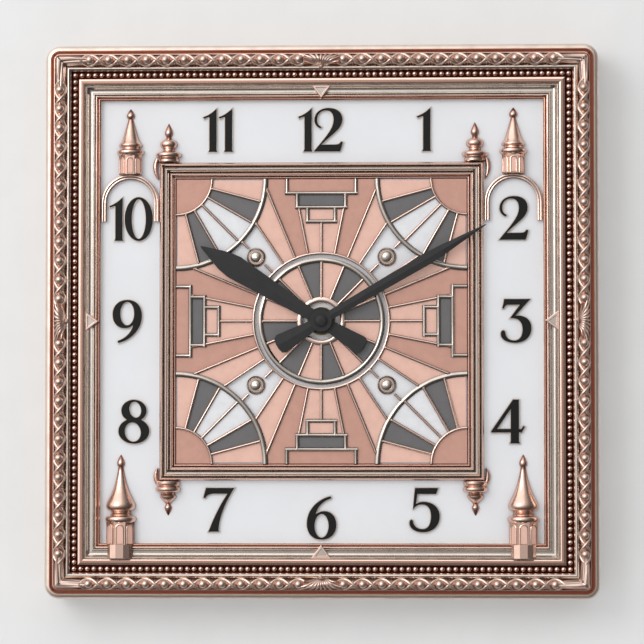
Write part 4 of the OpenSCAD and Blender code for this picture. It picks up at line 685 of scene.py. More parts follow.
class CLOCK_OT_mouldings(ClockPiece):
    """Fillets, bead rail, cove, reeds and keystones round the dial"""

    bl_idname = "clock.mouldings"
    bl_label = "Mouldings"

    def build(self, scene):
        m = scene.clock_mouldings
        seat = m.seat / MM
        self.outer_fillet(m, seat)

        def ring(node, start, sections, material, slot):
            """Stands for a CAD moulding; its sections run inward from its half width, over the seat."""
            half = getattr(m, start) / MM
            closed = [
                [(s[-1][0], seat), (s[0][0], seat)] + [(x, seat + z) for x, z in s] for s in sections
            ]
            piece = four_sided(node + "_ring", closed, half, FINISHES[material])
            return keep(finish(piece, mitres=True), "root", slot, node)

        w = (m.champagne - m.rail) / MM
        ring("champagne_fillet", "champagne", [crown(0, w, 3.3, 1.1, 12)], "champagne", "champagne_metal")
        w = (m.rail - m.rose) / MM
        half_groove = 1.383
        lip = w / 2 - half_groove
        section = [(0, 2.56), (0.12, 2.6), (lip, 1.6), (w - lip, 1.6), (w - 0.12, 2.4), (w, 2.36)]
        ring("bead_rail", "rail", [section], "rail", "bronze_metal")
        w = (m.rose - m.cove - m.gap) / MM
        section = [(0, 2.3), (0.08, 3.1), (0.5, 3.28), (0.95, 3.45), (1.1, 3.5), (w - 0.75, 3.5),
                   (w - 0.6, 3.47), (w - 0.12, 3.28), (w - 0.04, 3.0), (w, 2.16)]
        ring("rose_fillet", "rose", [section], "rose", "rose_gold_metal")
        w = (m.cove - m.sight) / MM
        section = [(0, 2.55), (0.1, 2.85), (0.3, 3.0), (0.5, 3.0)]
        steps, across, deep = 12, 1.9, 2.35
        for k in range(steps + 1):
            a = math.radians(90 * k / steps)
            section.append((0.6 + across * (1 - math.cos(a)), 2.9 - deep * math.sin(a)))
        section += [(w - 0.95, 0.62), (w - 0.78, 0.9), (w - 0.66, 1.25), (w - 0.48, 1.5),
                    (w - 0.24, 1.6), (w - 0.1, 1.52), (w - 0.03, 1.25), (w, 0.8)]
        ring("cove_moulding", "cove", [section], "cove", "champagne_metal")
        w = (m.sight - m.opening) / MM
        valley = 0.54 * w
        reeds = [crown(0.25, valley, 1.14, 0.76, 8), crown(valley, w, 0.66, 0.55, 8)]
        ring("sight_moulding", "sight", reeds, "sight", "rose_gold_metal")
        self.keystones(m, seat)

    def outer_fillet(self, m, seat):
        """A rounded bar that follows the case's rounded corners."""
        half, width = m.fillet / MM, (m.fillet - m.leaf) / MM
        radius = (m.corner - (CASE_HALF - m.fillet)) / MM
        lap = 0.52  # how far the bar laps over the leaf band
        top = [(0, 3.0), (0.06, 3.4), (0.2, 3.55), (0.72, 3.55), (0.86, 3.3), (0.96, 2.85), (1.28, 2.85),
               (1.36, 3.2), (1.48, 3.35), (1.7, 3.35), (1.78, 3.6), (1.86, 3.85), (2.0, 3.97), (2.16, 4.0),
               (2.26, 3.9), (1.8 + lap, 3.4)]
        section = [(width + lap, seat), (0, seat)] + [(x, seat + z) for x, z in top]
        flat, steps = half - radius, 8
        rings = []
        for corner in range(4):
            turn = math.radians(90 * corner)
            centre = Vector((flat * (math.cos(turn) - math.sin(turn)),
                             flat * (math.sin(turn) + math.cos(turn))))
            for step in range(steps + 1):
                a = math.radians(90 * (corner + step / steps))
                way = Vector((math.cos(a), math.sin(a)))
                rings.append([(*(centre + (radius - x) * way), z) for x, z in section])
        piece = carved("outer_fillet_ring", Shape().tube(rings, closed=True), FINISHES["outer"])
        keep(piece, "root", "rose_gold_metal", "outer_fillet")

    def keystones(self, m, seat):
        """A V-shaped key with raised sides over the cove and the reeds, at the middle of each side."""
        overlap, half_width, drop = 0.05, 5, 6.7
        top = m.cove / MM + overlap
        outer = [(-half_width, top), (half_width, top), (0, top - drop)]
        rim = [(0, 0), (0, 2.9), (0.3, 3.15), (1.05, 3.15), (1.3, 2.3), (1.3, 0)]
        floor_inset, floor_levels = 1.1, (1.5, 2.35)
        sides = Shape().tube([self.inset(outer, by, seat + z) for by, z in rim], closed=True)
        floors = Shape().tube([self.inset(outer, floor_inset, seat + z) for z in floor_levels])
        for name, shape, material, slot in (
            ("keystone_sides", sides, "rose", "rose_gold_metal"),
            ("keystone_floors", floors, "champagne", "champagne_metal"),
        ):
            keep(finish(on_four_sides(name, shape, FINISHES[material])), "root", slot, "side_keystones")

    def inset(self, outline, by, level):
        """The outline of a triangle moved inward by a distance, as points on a level."""
        corners = [Vector(p) for p in outline]
        found = []
        for i, corner in enumerate(corners):
            a = (corners[i - 1] - corner).normalized()
            b = (corners[(i + 1) % 3] - corner).normalized()
            half_angle = math.acos(max(-1, min(1, a.dot(b)))) / 2
            found.append((*(corner + (a + b).normalized() * by / math.sin(half_angle)), level))
        return found


class CLOCK_OT_beads(ClockPiece):
    """Rows of beads in the rail"""

    bl_idname = "clock.beads"
    bl_label = "Beads"

    def build(self, scene):
        b = scene.clock_beads
        tree = Growth("bead_rows_tree", {
            "Beads per side": "Int", "Row": "Float", "Radius": "Float", "Level": "Float",
        })
        s = tree.source
        bead = tree.add("GeometryNodeMeshUVSphere", {
            "Segments": 10, "Rings": 6, "Radius": s["Radius"],
        })
        step = tree.maths("DIVIDE", tree.times(s["Row"], 2.0), s["Beads per side"])
        row = tree.row(tree.times(s["Row"], -1.0), step, s["Beads per side"], bead)
        side = tree.add("GeometryNodeTransform", {
            "Geometry": row, "Translation": tree.vector(0.0, s["Row"], s["Level"]),
        })
        piece = grow("bead_rows", bpy.data.meshes.new("bead_rows"), tree.end(tree.four_sides(side)), {
            "Beads per side": b.per_side, "Row": b.row, "Radius": b.radius, "Level": b.level,
            "Material": FINISHES["bead"],
        })
        keep(finish(piece, angle=60), "root", "rose_gold_metal", "beads")


class CLOCK_OT_leaves(ClockPiece):
    """Leaf and berry band: berries between crossing ribbons, palmettes and corner leaves"""

    bl_idname = "clock.leaves"
    bl_label = "Leaf and berry band"

    def build(self, scene):
        v, m = scene.clock_leaves, scene.clock_mouldings
        self.half = m.leaf / MM
        self.width = (m.leaf - m.champagne) / MM
        self.middle = self.half - self.width / 2
        self.seat = m.seat / MM
        self.side, self.swell = v.side_height / MM, v.crown / MM
        section = [(self.width, self.seat), (0, self.seat)] + [
            (x, self.seat + z) for x, z in crown(0, self.width, self.side, self.swell, 14)
        ]
        band = four_sided("leaf_crown", [section], self.half, FINISHES["ground"])
        keep(finish(band, mitres=True), "root", "bronze_metal", "leaf_moulding")
        self.ribbons(v)
        self.ends(v)

    def surface(self, y):
        """Level of the band's crown at a distance from the hand axis."""
        off = min(abs(y - self.middle), self.width / 2)
        return self.seat + self.side + self.swell * math.cos(math.pi * off / self.width)

    def ridge(self, shape, path, width, height, across=(-1, -0.5, 0, 0.5, 1)):
        """A tapering rounded ridge that follows a path on the crown."""
        bedded, thick = 0.04, 0.35
        rows = []
        for t, place, way in path:
            side = Vector((-way.y, way.x))
            row = []
            for v in across:
                p = place + side * v * width(t)
                row.append((p.x, p.y, self.surface(p.y) + height(t) * (1 - v * v) ** 0.7 - bedded))
            rows.append(row)
        return shape.relief(rows, thick)

    def ribbons(self, v):
        """Berries, two ribbons that cross between them, and small leaves at the crossings."""
        leaflet = Shape()
        for edge in (-1, 1):
            for lean in (-1.5, 0, 1.5):
                path = bend((lean * 0.25, self.middle + edge * 0.75),
                            (lean * 0.5, self.middle + edge * 1.9),
                            (lean * 1.15, self.middle + edge * 2.85), 3)
                self.ridge(leaflet, path, lambda t: 0.16 + 0.42 * math.sin(math.pi * (0.12 + 0.8 * t)),
                           lambda t: 0.5, across=(-1, 0, 1))
        leaflet.points = [(x, y - self.middle, z - self.seat) for x, y, z in leaflet.points]
        tree = Growth("berry_and_ribbon_tree", {
            "Berries": "Int", "First": "Float", "Pitch": "Float", "Berry radius": "Float",
            "Spread": "Float", "Ribbon width": "Float", "Side height": "Float", "Crown": "Float",
            "Band": "Float", "Row": "Float", "Seat": "Float",
        })
        s, maths, plus, times = tree.source, tree.maths, tree.plus, tree.times
        berry = tree.add("GeometryNodeTransform", {
            "Geometry": tree.add("GeometryNodeMeshUVSphere", {
                "Segments": 12, "Rings": 7, "Radius": s["Berry radius"]}),
            "Translation": tree.vector(z=plus(s["Side height"], times(s["Crown"], 0.75))),
            "Scale": (1.0, 1.0, 1.05),
        })
        profile = tree.add("GeometryNodeTransform", {
            "Geometry": tree.add("GeometryNodeCurvePrimitiveCircle", {
                "Resolution": 8, "Radius": times(s["Ribbon width"], 0.5)}),
            "Scale": (1.0, 0.72, 1.0),
        })
        weave, lift = 0.00022, 0.00014  # metres that a ribbon swings and lies over the crown
        half = times(s["Pitch"], 0.5)
        start = maths("SUBTRACT", s["First"], times(half, 0.6))
        end = plus(s["First"], times(s["Pitch"], maths("SUBTRACT", s["Berries"], 0.5)))
        points = plus(times(s["Berries"], 9.0), 1.0)
        parts = []
        for sign in (1.0, -1.0):
            first = times(s["First"], sign)
            step = times(s["Pitch"], sign)
            between = times(plus(s["First"], half), sign)
            parts.append(tree.row(first, step, s["Berries"], berry))
            parts.append(tree.row(between, step, maths("SUBTRACT", s["Berries"], 1.0), s["Geometry"]))
            for phase in (1.0, -1.0):
                line = tree.add("GeometryNodeCurvePrimitiveLine", {
                    "Start": tree.vector(times(start, sign)), "End": tree.vector(times(end, sign))})
                path = tree.add("GeometryNodeResampleCurve", {"Curve": line, "Count": points})
                x = tree.add("ShaderNodeSeparateXYZ", {0: tree.add("GeometryNodeInputPosition", {})})
                angle = times(maths("DIVIDE", maths("SUBTRACT", x, first), s["Pitch"]), math.pi)
                y = times(maths("COSINE", angle), times(s["Spread"], phase))
                swell = maths("COSINE", times(maths("DIVIDE", y, s["Band"]), math.pi))
                z = plus(plus(s["Side height"], times(s["Crown"], swell)),
                         times(maths("SINE", angle), weave * phase))
                bent = tree.add("GeometryNodeSetPosition", {
                    "Geometry": path, "Position": tree.vector(x, y, plus(z, lift))})
                level = tree.add("GeometryNodeSetCurveNormal", {"Curve": bent}, mode="Z_UP")
                parts.append(tree.add("GeometryNodeCurveToMesh", {
                    "Curve": level, "Profile Curve": profile, "Fill Caps": True}))
        side = tree.add("GeometryNodeTransform", {
            "Geometry": tree.join(parts), "Translation": tree.vector(0.0, s["Row"], s["Seat"])})
        piece = grow("berries_and_ribbons", leaflet.mesh("leaflet"), tree.end(tree.four_sides(side)), {
            "Berries": v.berries, "First": v.first, "Pitch": v.pitch, "Berry radius": v.berry,
            "Spread": v.spread, "Ribbon width": v.ribbon, "Side height": v.side_height,
            "Crown": v.crown, "Band": self.width * MM, "Row": self.middle * MM,
            "Seat": self.seat * MM, "Material": FINISHES["leaf"],
        })
        keep(finish(piece, angle=50), "root", "rose_gold_metal", "leaf_berries")

    def ends(self, v):
        """Palmette in the middle of the side, and a pointed leaf on each side of the mitre."""
        shape = Shape()
        edge = self.half - self.width
        # Lobes of the palmette: x of the foot, of the bend and of the tip, height of the tip, width
        lobes = [(0.0, 0.0, 0.0, 5.9, 0.95), (0.7, 1.2, 2.9, 5.8, 0.95), (1.3, 2.8, 5.7, 5.6, 1.0),
                 (1.9, 4.8, 8.2, 5.2, 0.95), (2.6, 6.6, 10.0, 4.3, 0.85), (3.2, 6.4, 8.8, 1.9, 0.6)]
        for foot_x, bend_x, tip_x, tip_y, wide in lobes:
            for sign in (1, -1) if tip_x else (1,):
                path = bend((sign * foot_x, edge - 0.1), (sign * bend_x * 0.55, edge + 0.68 * tip_y),
                            (sign * tip_x, edge + tip_y), 9)
                self.ridge(shape, path,
                           lambda t, w=wide: w * (0.32 + 0.68 * math.sin(math.pi * (0.06 + 0.84 * t ** 1.3))),
                           lambda t: 0.6 + 0.75 * t)
        for wide, high in ((1.5, 1.125), (1.0, 1.65)):
            self.boss(shape, edge - 0.5, wide, high)
        self.corner_leaves(shape, self.middle - v.corner_leaf / MM)
        piece = on_four_sides("palmettes_and_corner_leaves", shape, FINISHES["leaf"])
        keep(finish(piece, angle=40), "root", "bronze_metal", "leaf_moulding")

    def corner_leaves(self, shape, tip):
        """A ribbed leaf that runs from the mitre to its tip, at each end of the side."""
        steps, half_steps = 14, 12
        for sign in (1, -1):
            rows = []
            for i in range(steps + 1):
                s = i / steps
                wide = (self.width / 2 - 0.25) * (1 - s ** 2.1) ** 0.8 + 0.12
                row = []
                for j in range(-half_steps, half_steps + 1):
                    u = j / half_steps
                    y = self.middle + u * wide + 0.5 * math.sin(math.pi * s) * (1 - abs(u))
                    x = y * (1 - s) + tip * s
                    swell = 0.85 * (1 - u * u) ** 0.6 * (1 - 0.4 * s)
                    rib = 0.24 * math.cos(4 * math.pi * u) * (1 - 0.4 * s) * (1 - u ** 4)
                    row.append((sign * x, y, self.surface(y) + swell + rib))
                rows.append(row)
            shape.relief(rows, 0.6)

    def boss(self, shape, y0, wide, high):
        """A small rounded boss at the foot of a palmette."""
        level, tall, steps, around = self.seat + 3.9, 1.0, 5, 14
        rings = []
        for k in range(steps):
            a = k / steps * math.pi / 2
            rings.append([
                (wide * math.cos(a) * math.cos(b), y0 + tall * math.cos(a) * math.sin(b),
                 level + high * math.sin(a))
                for b in [math.tau * i / around for i in range(around)]
            ])
        shape.tube(rings)


class CLOCK_OT_dial(ClockPiece):
    """Dial with its raised numerals"""

    bl_idname = "clock.dial"
    bl_label = "Dial and numerals"

    def build(self, scene):
        paint(FINISHES["dial"], "dial_board")
        recut("numeral_backs", FINISHES["numeral_back"], slot="rose_gold_metal", bevel=0.12, angle=50)
        recut("numerals", FINISHES["numeral"], slot="black_metal", bevel=0.1, angle=50)


class CLOCK_OT_plaque(ClockPiece):
    """Relief plaque: borders, ribs, bosses and coloured inlays"""

    bl_idname = "clock.plaque"
    bl_label = "Plaque"

    def build(self, scene):
        paint(FINISHES["dial"], "plaque_plate")
        for node, finish_name, slot in (
            ("border_outer", "border_rose", "rose_gold_metal"),
            ("border_mid", "border_champagne", "champagne_metal"),
            ("border_inner", "border_rose", "rose_gold_metal"),
        ):
            recut(node, FINISHES[finish_name], slot=slot)
        recut("rose_ribs", FINISHES["rib_rose"], slot="rose_gold_metal", angle=32, crowned=0.3)
        recut("champagne_ribs", FINISHES["rib_champagne"], angle=32, crowned=0.5)
        recut("plaque_bosses", FINISHES["cove"], angle=32)
        for node in ("dusky", "charcoal"):
            recut("inlay_" + node, FINISHES[node], slot=node + "_enamel", bevel=0.08)
        fan_start, fan_half = 42, 9
        in_fan = lambda x, y: min(abs(x), abs(y)) > fan_start and abs(abs(x) - abs(y)) < fan_half
        recut("inlay_blush", FINISHES["blush"], slot="blush_enamel", bevel=0.08,
              wanted=lambda x, y: not in_fan(x, y))
        recut("inlay_blush", FINISHES["pearl"], slot="white_panel", bevel=0.08, wanted=in_fan, name="pearl")
        recut("bush_washer", FINISHES["brass"], slot="brass", bevel=0.08)
        recut("bush_nut", FINISHES["brass"], slot="brass", bevel=0.15)


# Sections of the turrets over their drums: shares of the drum's radius and of the turret's height
UPPER_SPIRE = [
    (1.02, 0.275), (1.05, 0.297), (1.16, 0.305), (1.22, 0.32), (1.235, 0.34), (1.2, 0.36), (1.08, 0.372),
    (0.9, 0.38), (0.82, 0.388), (0.8, 0.398), (0.8, 0.408), (0.86, 0.415), (0.98, 0.42), (1.04, 0.43),
    (1.055, 0.444), (1.03, 0.458), (0.94, 0.477), (0.85, 0.503), (0.76, 0.53), (0.7, 0.561), (0.64, 0.592),
    (0.54, 0.654), (0.43, 0.716), (0.32, 0.778), (0.22, 0.84), (0.24, 0.848), (0.32, 0.862), (0.37, 0.88),
    (0.38, 0.895), (0.35, 0.915), (0.28, 0.938), (0.17, 0.965), (0.07, 0.988), (0.0, 1.0),
]
LOWER_SPIRE = [
    (1.0, 0.247), (1.03, 0.252), (1.09, 0.262), (1.13, 0.275), (1.13, 0.29), (1.1, 0.305), (1.02, 0.317),
    (0.88, 0.323), (0.75, 0.327), (0.73, 0.333), (0.77, 0.341), (0.73, 0.349), (0.7, 0.354), (0.73, 0.363),
    (0.7, 0.371), (0.78, 0.376), (0.93, 0.383), (1.02, 0.396), (1.07, 0.415), (1.08, 0.435), (1.05, 0.455),
    (0.99, 0.477), (0.92, 0.5), (0.84, 0.525), (0.76, 0.55), (0.665, 0.58), (0.515, 0.64), (0.4, 0.7),
    (0.305, 0.757), (0.23, 0.818), (0.19, 0.858), (0.21, 0.866), (0.27, 0.88), (0.29, 0.9), (0.27, 0.92),
    (0.2, 0.945), (0.12, 0.97), (0.05, 0.99), (0.0, 1.0),
]
# Radius of the drum, height from its foot to the tip, and section over the drum, of each pair of turrets
TURRETS = {"upper_turrets": (5.6, 32.7, UPPER_SPIRE), "lower_turrets": (6.9, 44.6, LOWER_SPIRE)}
EAVE_SHARE = 1.22  # what a turret reaches outward from its axis, in radii of its drum

# Sections of the turned ornaments beside the plaque: radius and distance from the plaque's edge
FINIAL = [
    (4.9, 0), (5.3, 0.5), (5.3, 1.5), (4.9, 2.0), (5.0, 2.3), (6.1, 2.7), (6.5, 3.3), (6.55, 3.7),
    (6.5, 4.2), (6.1, 4.8), (5.2, 5.2), (3.5, 5.5), (2.9, 6.0), (2.8, 6.5), (3.3, 7.0), (4.0, 7.7),
    (4.35, 8.6), (4.4, 9.3), (4.1, 10.2), (3.4, 10.95), (2.4, 11.5), (1.5, 12.0), (1.25, 12.4), (1.5, 13.0),
    (1.95, 13.9), (2.1, 14.6), (1.95, 15.5), (1.5, 16.7), (0.9, 17.9), (0.4, 18.9), (0, 19.6),
]
PENDANT = [
    (5.6, 0), (5.95, 0.4), (6.0, 1.1), (5.95, 1.8), (5.6, 2.3), (5.2, 2.6), (5.7, 2.9), (6.2, 3.4),
    (6.3, 4.0), (6.2, 4.7), (5.8, 5.2), (4.8, 5.5), (3.4, 5.8), (3.2, 6.2), (3.7, 6.6), (4.2, 7.3),
    (4.15, 8.0), (3.4, 9.0), (2.4, 10.0), (1.5, 10.9), (1.2, 11.4), (1.4, 12.0), (1.85, 12.7), (1.9, 13.2),
    (1.5, 14.4), (0.9, 15.6), (0.4, 16.6), (0, 17.05),
]


class CLOCK_OT_turrets(ClockPiece):
    """Turrets with faceted drums and enamelled niches, arches, finials and pendants"""

    bl_idname = "clock.turrets"
    bl_label = "Turrets and arches"

    def build(self, scene):
        self.sizes = scene.clock_turrets
        self.dial = foot("upper_turrets") / MM
        recut("arch_hoods", FINISHES["arch"], slot="rose_gold_metal", angle=30, crowned=0.4)
        self.ornaments()
        for node in TURRETS:
            body, panels = Shape(), Shape()
            for sign in (-1, 1):
                self.turret(body, panels, node, sign)
            keep(carved(node + "_cast", body, FINISHES["turret"], angle=38), "root", "rose_gold_metal", node)
            keep(carved(node + "_panels", panels, FINISHES["blush"], angle=40), "root", "blush_enamel", node)
        plinths = Shape()
        for sign in (-1, 1):
            self.plinth(plinths, "lower_turrets", sign)
        keep(carved("turret_plinths", plinths, FINISHES["turret"], angle=15),
             "root", "rose_gold_metal", "lower_turrets")

    def ornaments(self):
        """Finial and pendant at each upper and lower corner of the plaque, with a slim scroll beside each."""
        inset = 4.3  # from the plaque's edge to the ornaments' axes
        axis = self.sizes.plaque / MM - inset
        for node, way, section, scroll in (
            ("corner_finials", 1, FINIAL, ((5.75, 1.7), (7.6, -3.2), (5.1, -8.4))),
            ("corner_pendants", -1, PENDANT, ((5.2, 1.2), (6.9, -2.6), (5.2, -6.3))),
        ):
            shape = Shape()
            level = max(abs(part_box(node)[k].z - HAND_AXIS.z) / MM for k in (0, 1))
            foot_y = way * (level - section[-1][1])
            for sign in (-1, 1):
                self.half_turned(shape, section, sign * axis, foot_y, way)
                self.scroll(shape, bend(*scroll, 14), sign * axis, foot_y, sign, way)
            keep(carved(node + "_cast", shape, FINISHES["turret"], angle=35), "root", "rose_gold_metal", node)

    def scroll(self, shape, path, x0, y0, sign, way):
        """A slim rounded bar that swells along its path and stands on the dial."""
        steps, side_height, swell = 8, 0.5, 1.6
        rows = []
        for t, place, run in path:
            side = Vector((-run.y, run.x))
            wide = 0.35 + 1.0 * math.sin(math.pi * min(1.0, 0.25 + 0.75 * t)) ** 0.8
            row = []
            for k in range(steps + 1):
                v = -math.cos(math.pi * k / steps)
                p = place + side * wide * v
                z = self.dial + side_height + swell * math.sqrt(max(0.0, 1 - v * v))
                row.append((x0 + sign * p.x, y0 + way * p.y, z))
            rows.append(row)
        shape.relief(rows, floor=self.dial)

    def stand(self, node):
        """Where the axis and the foot of a turret's drum are, right of and over the middle of the face."""
        radius, tall = TURRETS[node][:2]
        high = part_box(node)[1]
        return high.x / MM - EAVE_SHARE * radius, (high.z - HAND_AXIS.z) / MM - tall

    def turret(self, body, panels, node, sign):
        """A turned spire over an eight-sided drum with three niches."""
        radius, tall, section = TURRETS[node]
        axis, foot_y = self.stand(node)
        x0 = sign * axis
        drum = section[0][1] * tall
        self.half_turned(body, [(a * radius, b * tall) for a, b in section], x0, foot_y)
        self.drum(body, x0, foot_y, drum + 0.01 * tall, radius)
        facet = math.tau / self.sizes.facets
        half_w = 0.62 * radius * math.tan(facet / 2)
        sill, leg = foot_y + 0.014 * tall, 0.86 * drum - half_w
        for k in (-1, 0, 1):
            self.niche(body, panels, x0, sill, radius, k * facet, half_w, leg)

    def half_turned(self, shape, section, x0, y0, way=1):
        """Turns a section about an axis on the dial; only the half in front of the dial is made."""
        n = self.sizes.steps
        rings = []
        for radius, y in [(0.0, section[0][1])] + section:
            rings.append([
                (x0 + radius * math.cos(math.pi * i / n), y0 + way * y,
                 self.dial + radius * math.sin(math.pi * i / n))
                for i in range(n + 1)
            ])
        shape.tube(rings)

    def drum(self, shape, x0, y0, height, radius):
        """An eight-sided half drum that stands on the dial."""
        n = self.sizes.facets
        corner = radius / math.cos(math.pi / n)
        outline = [(radius, 0.0)]
        for k in range(n // 2):
            a = math.pi / n + k * math.tau / n
            outline.append((corner * math.cos(a), corner * math.sin(a)))
        outline.append((-radius, 0.0))
        shape.tube([[(x0 + x, y, self.dial + z) for x, z in outline] for y in (y0, y0 + height)])

    def plinth(self, shape, node, sign):
        """The faceted foot of a turret, which stands over the frame's mouldings."""
        axis, drum_foot = self.stand(node)
        clearance, overlap = 0.1, 0.3
        bottom = (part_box(node)[0].z - HAND_AXIS.z) / MM + clearance
        front, level, wide = self.dial + 7.8, self.dial + 4.95, 6.1
        half = [(wide, level), (wide, level + 0.1), (4.7, level + 1.9), (1.9, front)]
        outline = [(-x, z) for x, z in half] + half[::-1]
        shape.tube([[(sign * axis + x, y, z) for x, z in outline] for y in (bottom, drum_foot + overlap)])

    def niche(self, body, panels, x0, y0, radius, angle, half_w, leg):
        """A round-headed niche on one facet: an enamelled panel in a bright rim."""
        across = Vector((math.cos(angle), 0, -math.sin(angle)))
        out = Vector((math.sin(angle), 0, math.cos(angle)))
        middle = Vector((x0, y0, self.dial)) + out * radius
        at = lambda u, v, lift: middle + across * u + Vector((0, v, 0)) + out * lift
        arch, steps = [(-half_w, 0.0)], 10
        for i in range(steps + 1):
            a = math.pi * i / steps
            arch.append((-half_w * math.cos(a), leg + half_w * math.sin(a)))
        arch.append((half_w, 0.0))
        proud, sunk = 0.05, 0.3
        panels.tube([[at(u, v, lift) for u, v in arch] for lift in (-sunk, proud)])
        rim, lowest, highest, around = self.sizes.rim / MM / 2, -0.1, 0.4, 8
        rings = []
        for i, (u, v) in enumerate(arch):
            ahead, behind = Vector(arch[(i + 1) % len(arch)]), Vector(arch[i - 1])
            way = (ahead - behind).normalized()
            side = Vector((-way.y, way.x))
            rings.append([
                at(*(Vector((u, v)) + side * rim * math.cos(a)), max(highest * math.sin(a), lowest) + proud)
                for a in [math.tau * k / around for k in range(around)]
            ])
        body.tube(rings, closed=True)


class CLOCK_OT_hands(ClockPiece):
    """Ridged hands and the cap on their axis"""

    bl_idname = "clock.hands"
    bl_label = "Hands"

    def build(self, scene):
        self.hand("hour_hand", "hour", angle=301.8, long=69.9, wide=11.8, wide_share=0.72,
                  root=4.956, hub=6.65, tail_w=9.322, bore=2.5)
        self.hand("minute_hand", "minute", angle=59.8, long=93.8, wide=6.1, wide_share=0.645,
                  root=4.392, hub=5.44, tail_w=9.882, bore=1.6)
        recut("hand_cap", FINISHES["hand"], body="minute", slot="black_metal", angle=30)

    def hand(self, node, body, angle, long, wide, wide_share, root, hub, tail_w, bore):
        """A ridged blade with its tail and hub, turned clockwise from the 12 by an angle in degrees.

        It is root wide at the axis, wide at a share of its length and tail_w wide near the tail's end;
        hub and bore are radii.
        """
        base, top = foot(node) / MM, rise(node) / MM
        edge = base + 0.5 * (top - base)
        tail, mid = 25.0, wide_share * long
        outline = [(0.12 * tail_w, -tail), (0.4 * tail_w, -0.975 * tail), (tail_w / 2, -0.9 * tail),
                   (root / 2, 0.0), (wide / 2, mid), (0.42 * wide, mid + 0.09 * long),
                   (0.06 * wide, 0.985 * long), (0.02 * wide, long)]
        rows = []
        for half, y in outline:
            ridge = edge if y in (-tail, long) else top
            rows.append([(-half, y, edge), (0, y, ridge), (half, y, edge)])
        shape = Shape().relief(rows, floor=base)
        steps, chamfer = 48, 0.12
        circle = [(math.cos(math.tau * i / steps), math.sin(math.tau * i / steps)) for i in range(steps)]
        section = [(bore, base), (hub, base), (hub, top - chamfer), (hub - chamfer, top), (bore, top)]
        shape.tube([[(r * x, r * y, z) for x, y in circle] for r, z in section], closed=True)
        spin = Matrix.Rotation(-math.radians(angle), 3, "Z")
        shape.points = [tuple(spin @ Vector(p)) for p in shape.points]
        piece = carved(node + "_ridged", shape, FINISHES["hand"], angle=6)
        keep(piece, body, "black_metal", node)


class CLOCK_OT_movement(ClockPiece):
    """Quartz movement behind the dial"""

    bl_idname = "clock.movement"
    bl_label = "Movement"

    def build(self, scene):
        for node in ("movement_case", "movement_cover"):
            recut(node, FINISHES["black_plastic"], slot="black_plastic", bevel=0.2, angle=50)
        recut("setting_knob", FINISHES["black_plastic"], body="knob", slot="black_plastic", angle=40)
        recut("battery", FINISHES["jacket"], slot="cell_jacket", angle=40)
        paint(FINISHES["rubber"], "movement_gasket")
        paint(FINISHES["natural_plastic"], "train_plate", "minute_arbor", "hour_wheel", "minute_wheel",
              "centre_wheel", "third_wheel", "seconds_wheel", "intermediate_wheel", "coil_bobbin")
        paint(FINISHES["steel"], "rotor", "stator", "quartz_crystal", "battery_contacts")
        paint(FINISHES["copper"], "coil_winding")
        paint(FINISHES["board"], "circuit_board")
        paint(FINISHES["black_plastic"], "timing_chip")


class CLOCK_OT_fixings(ClockPiece):
    """Hanger plate, clips and screws at the back"""

    bl_idname = "clock.fixings"
    bl_label = "Fixings"

    def build(self, scene):
        for node in ("hanger_plate", "hanger_screws", "dial_clips", "clip_screws"):
            recut(node, FINISHES["steel"], slot="steel", bevel=0.1, angle=40)


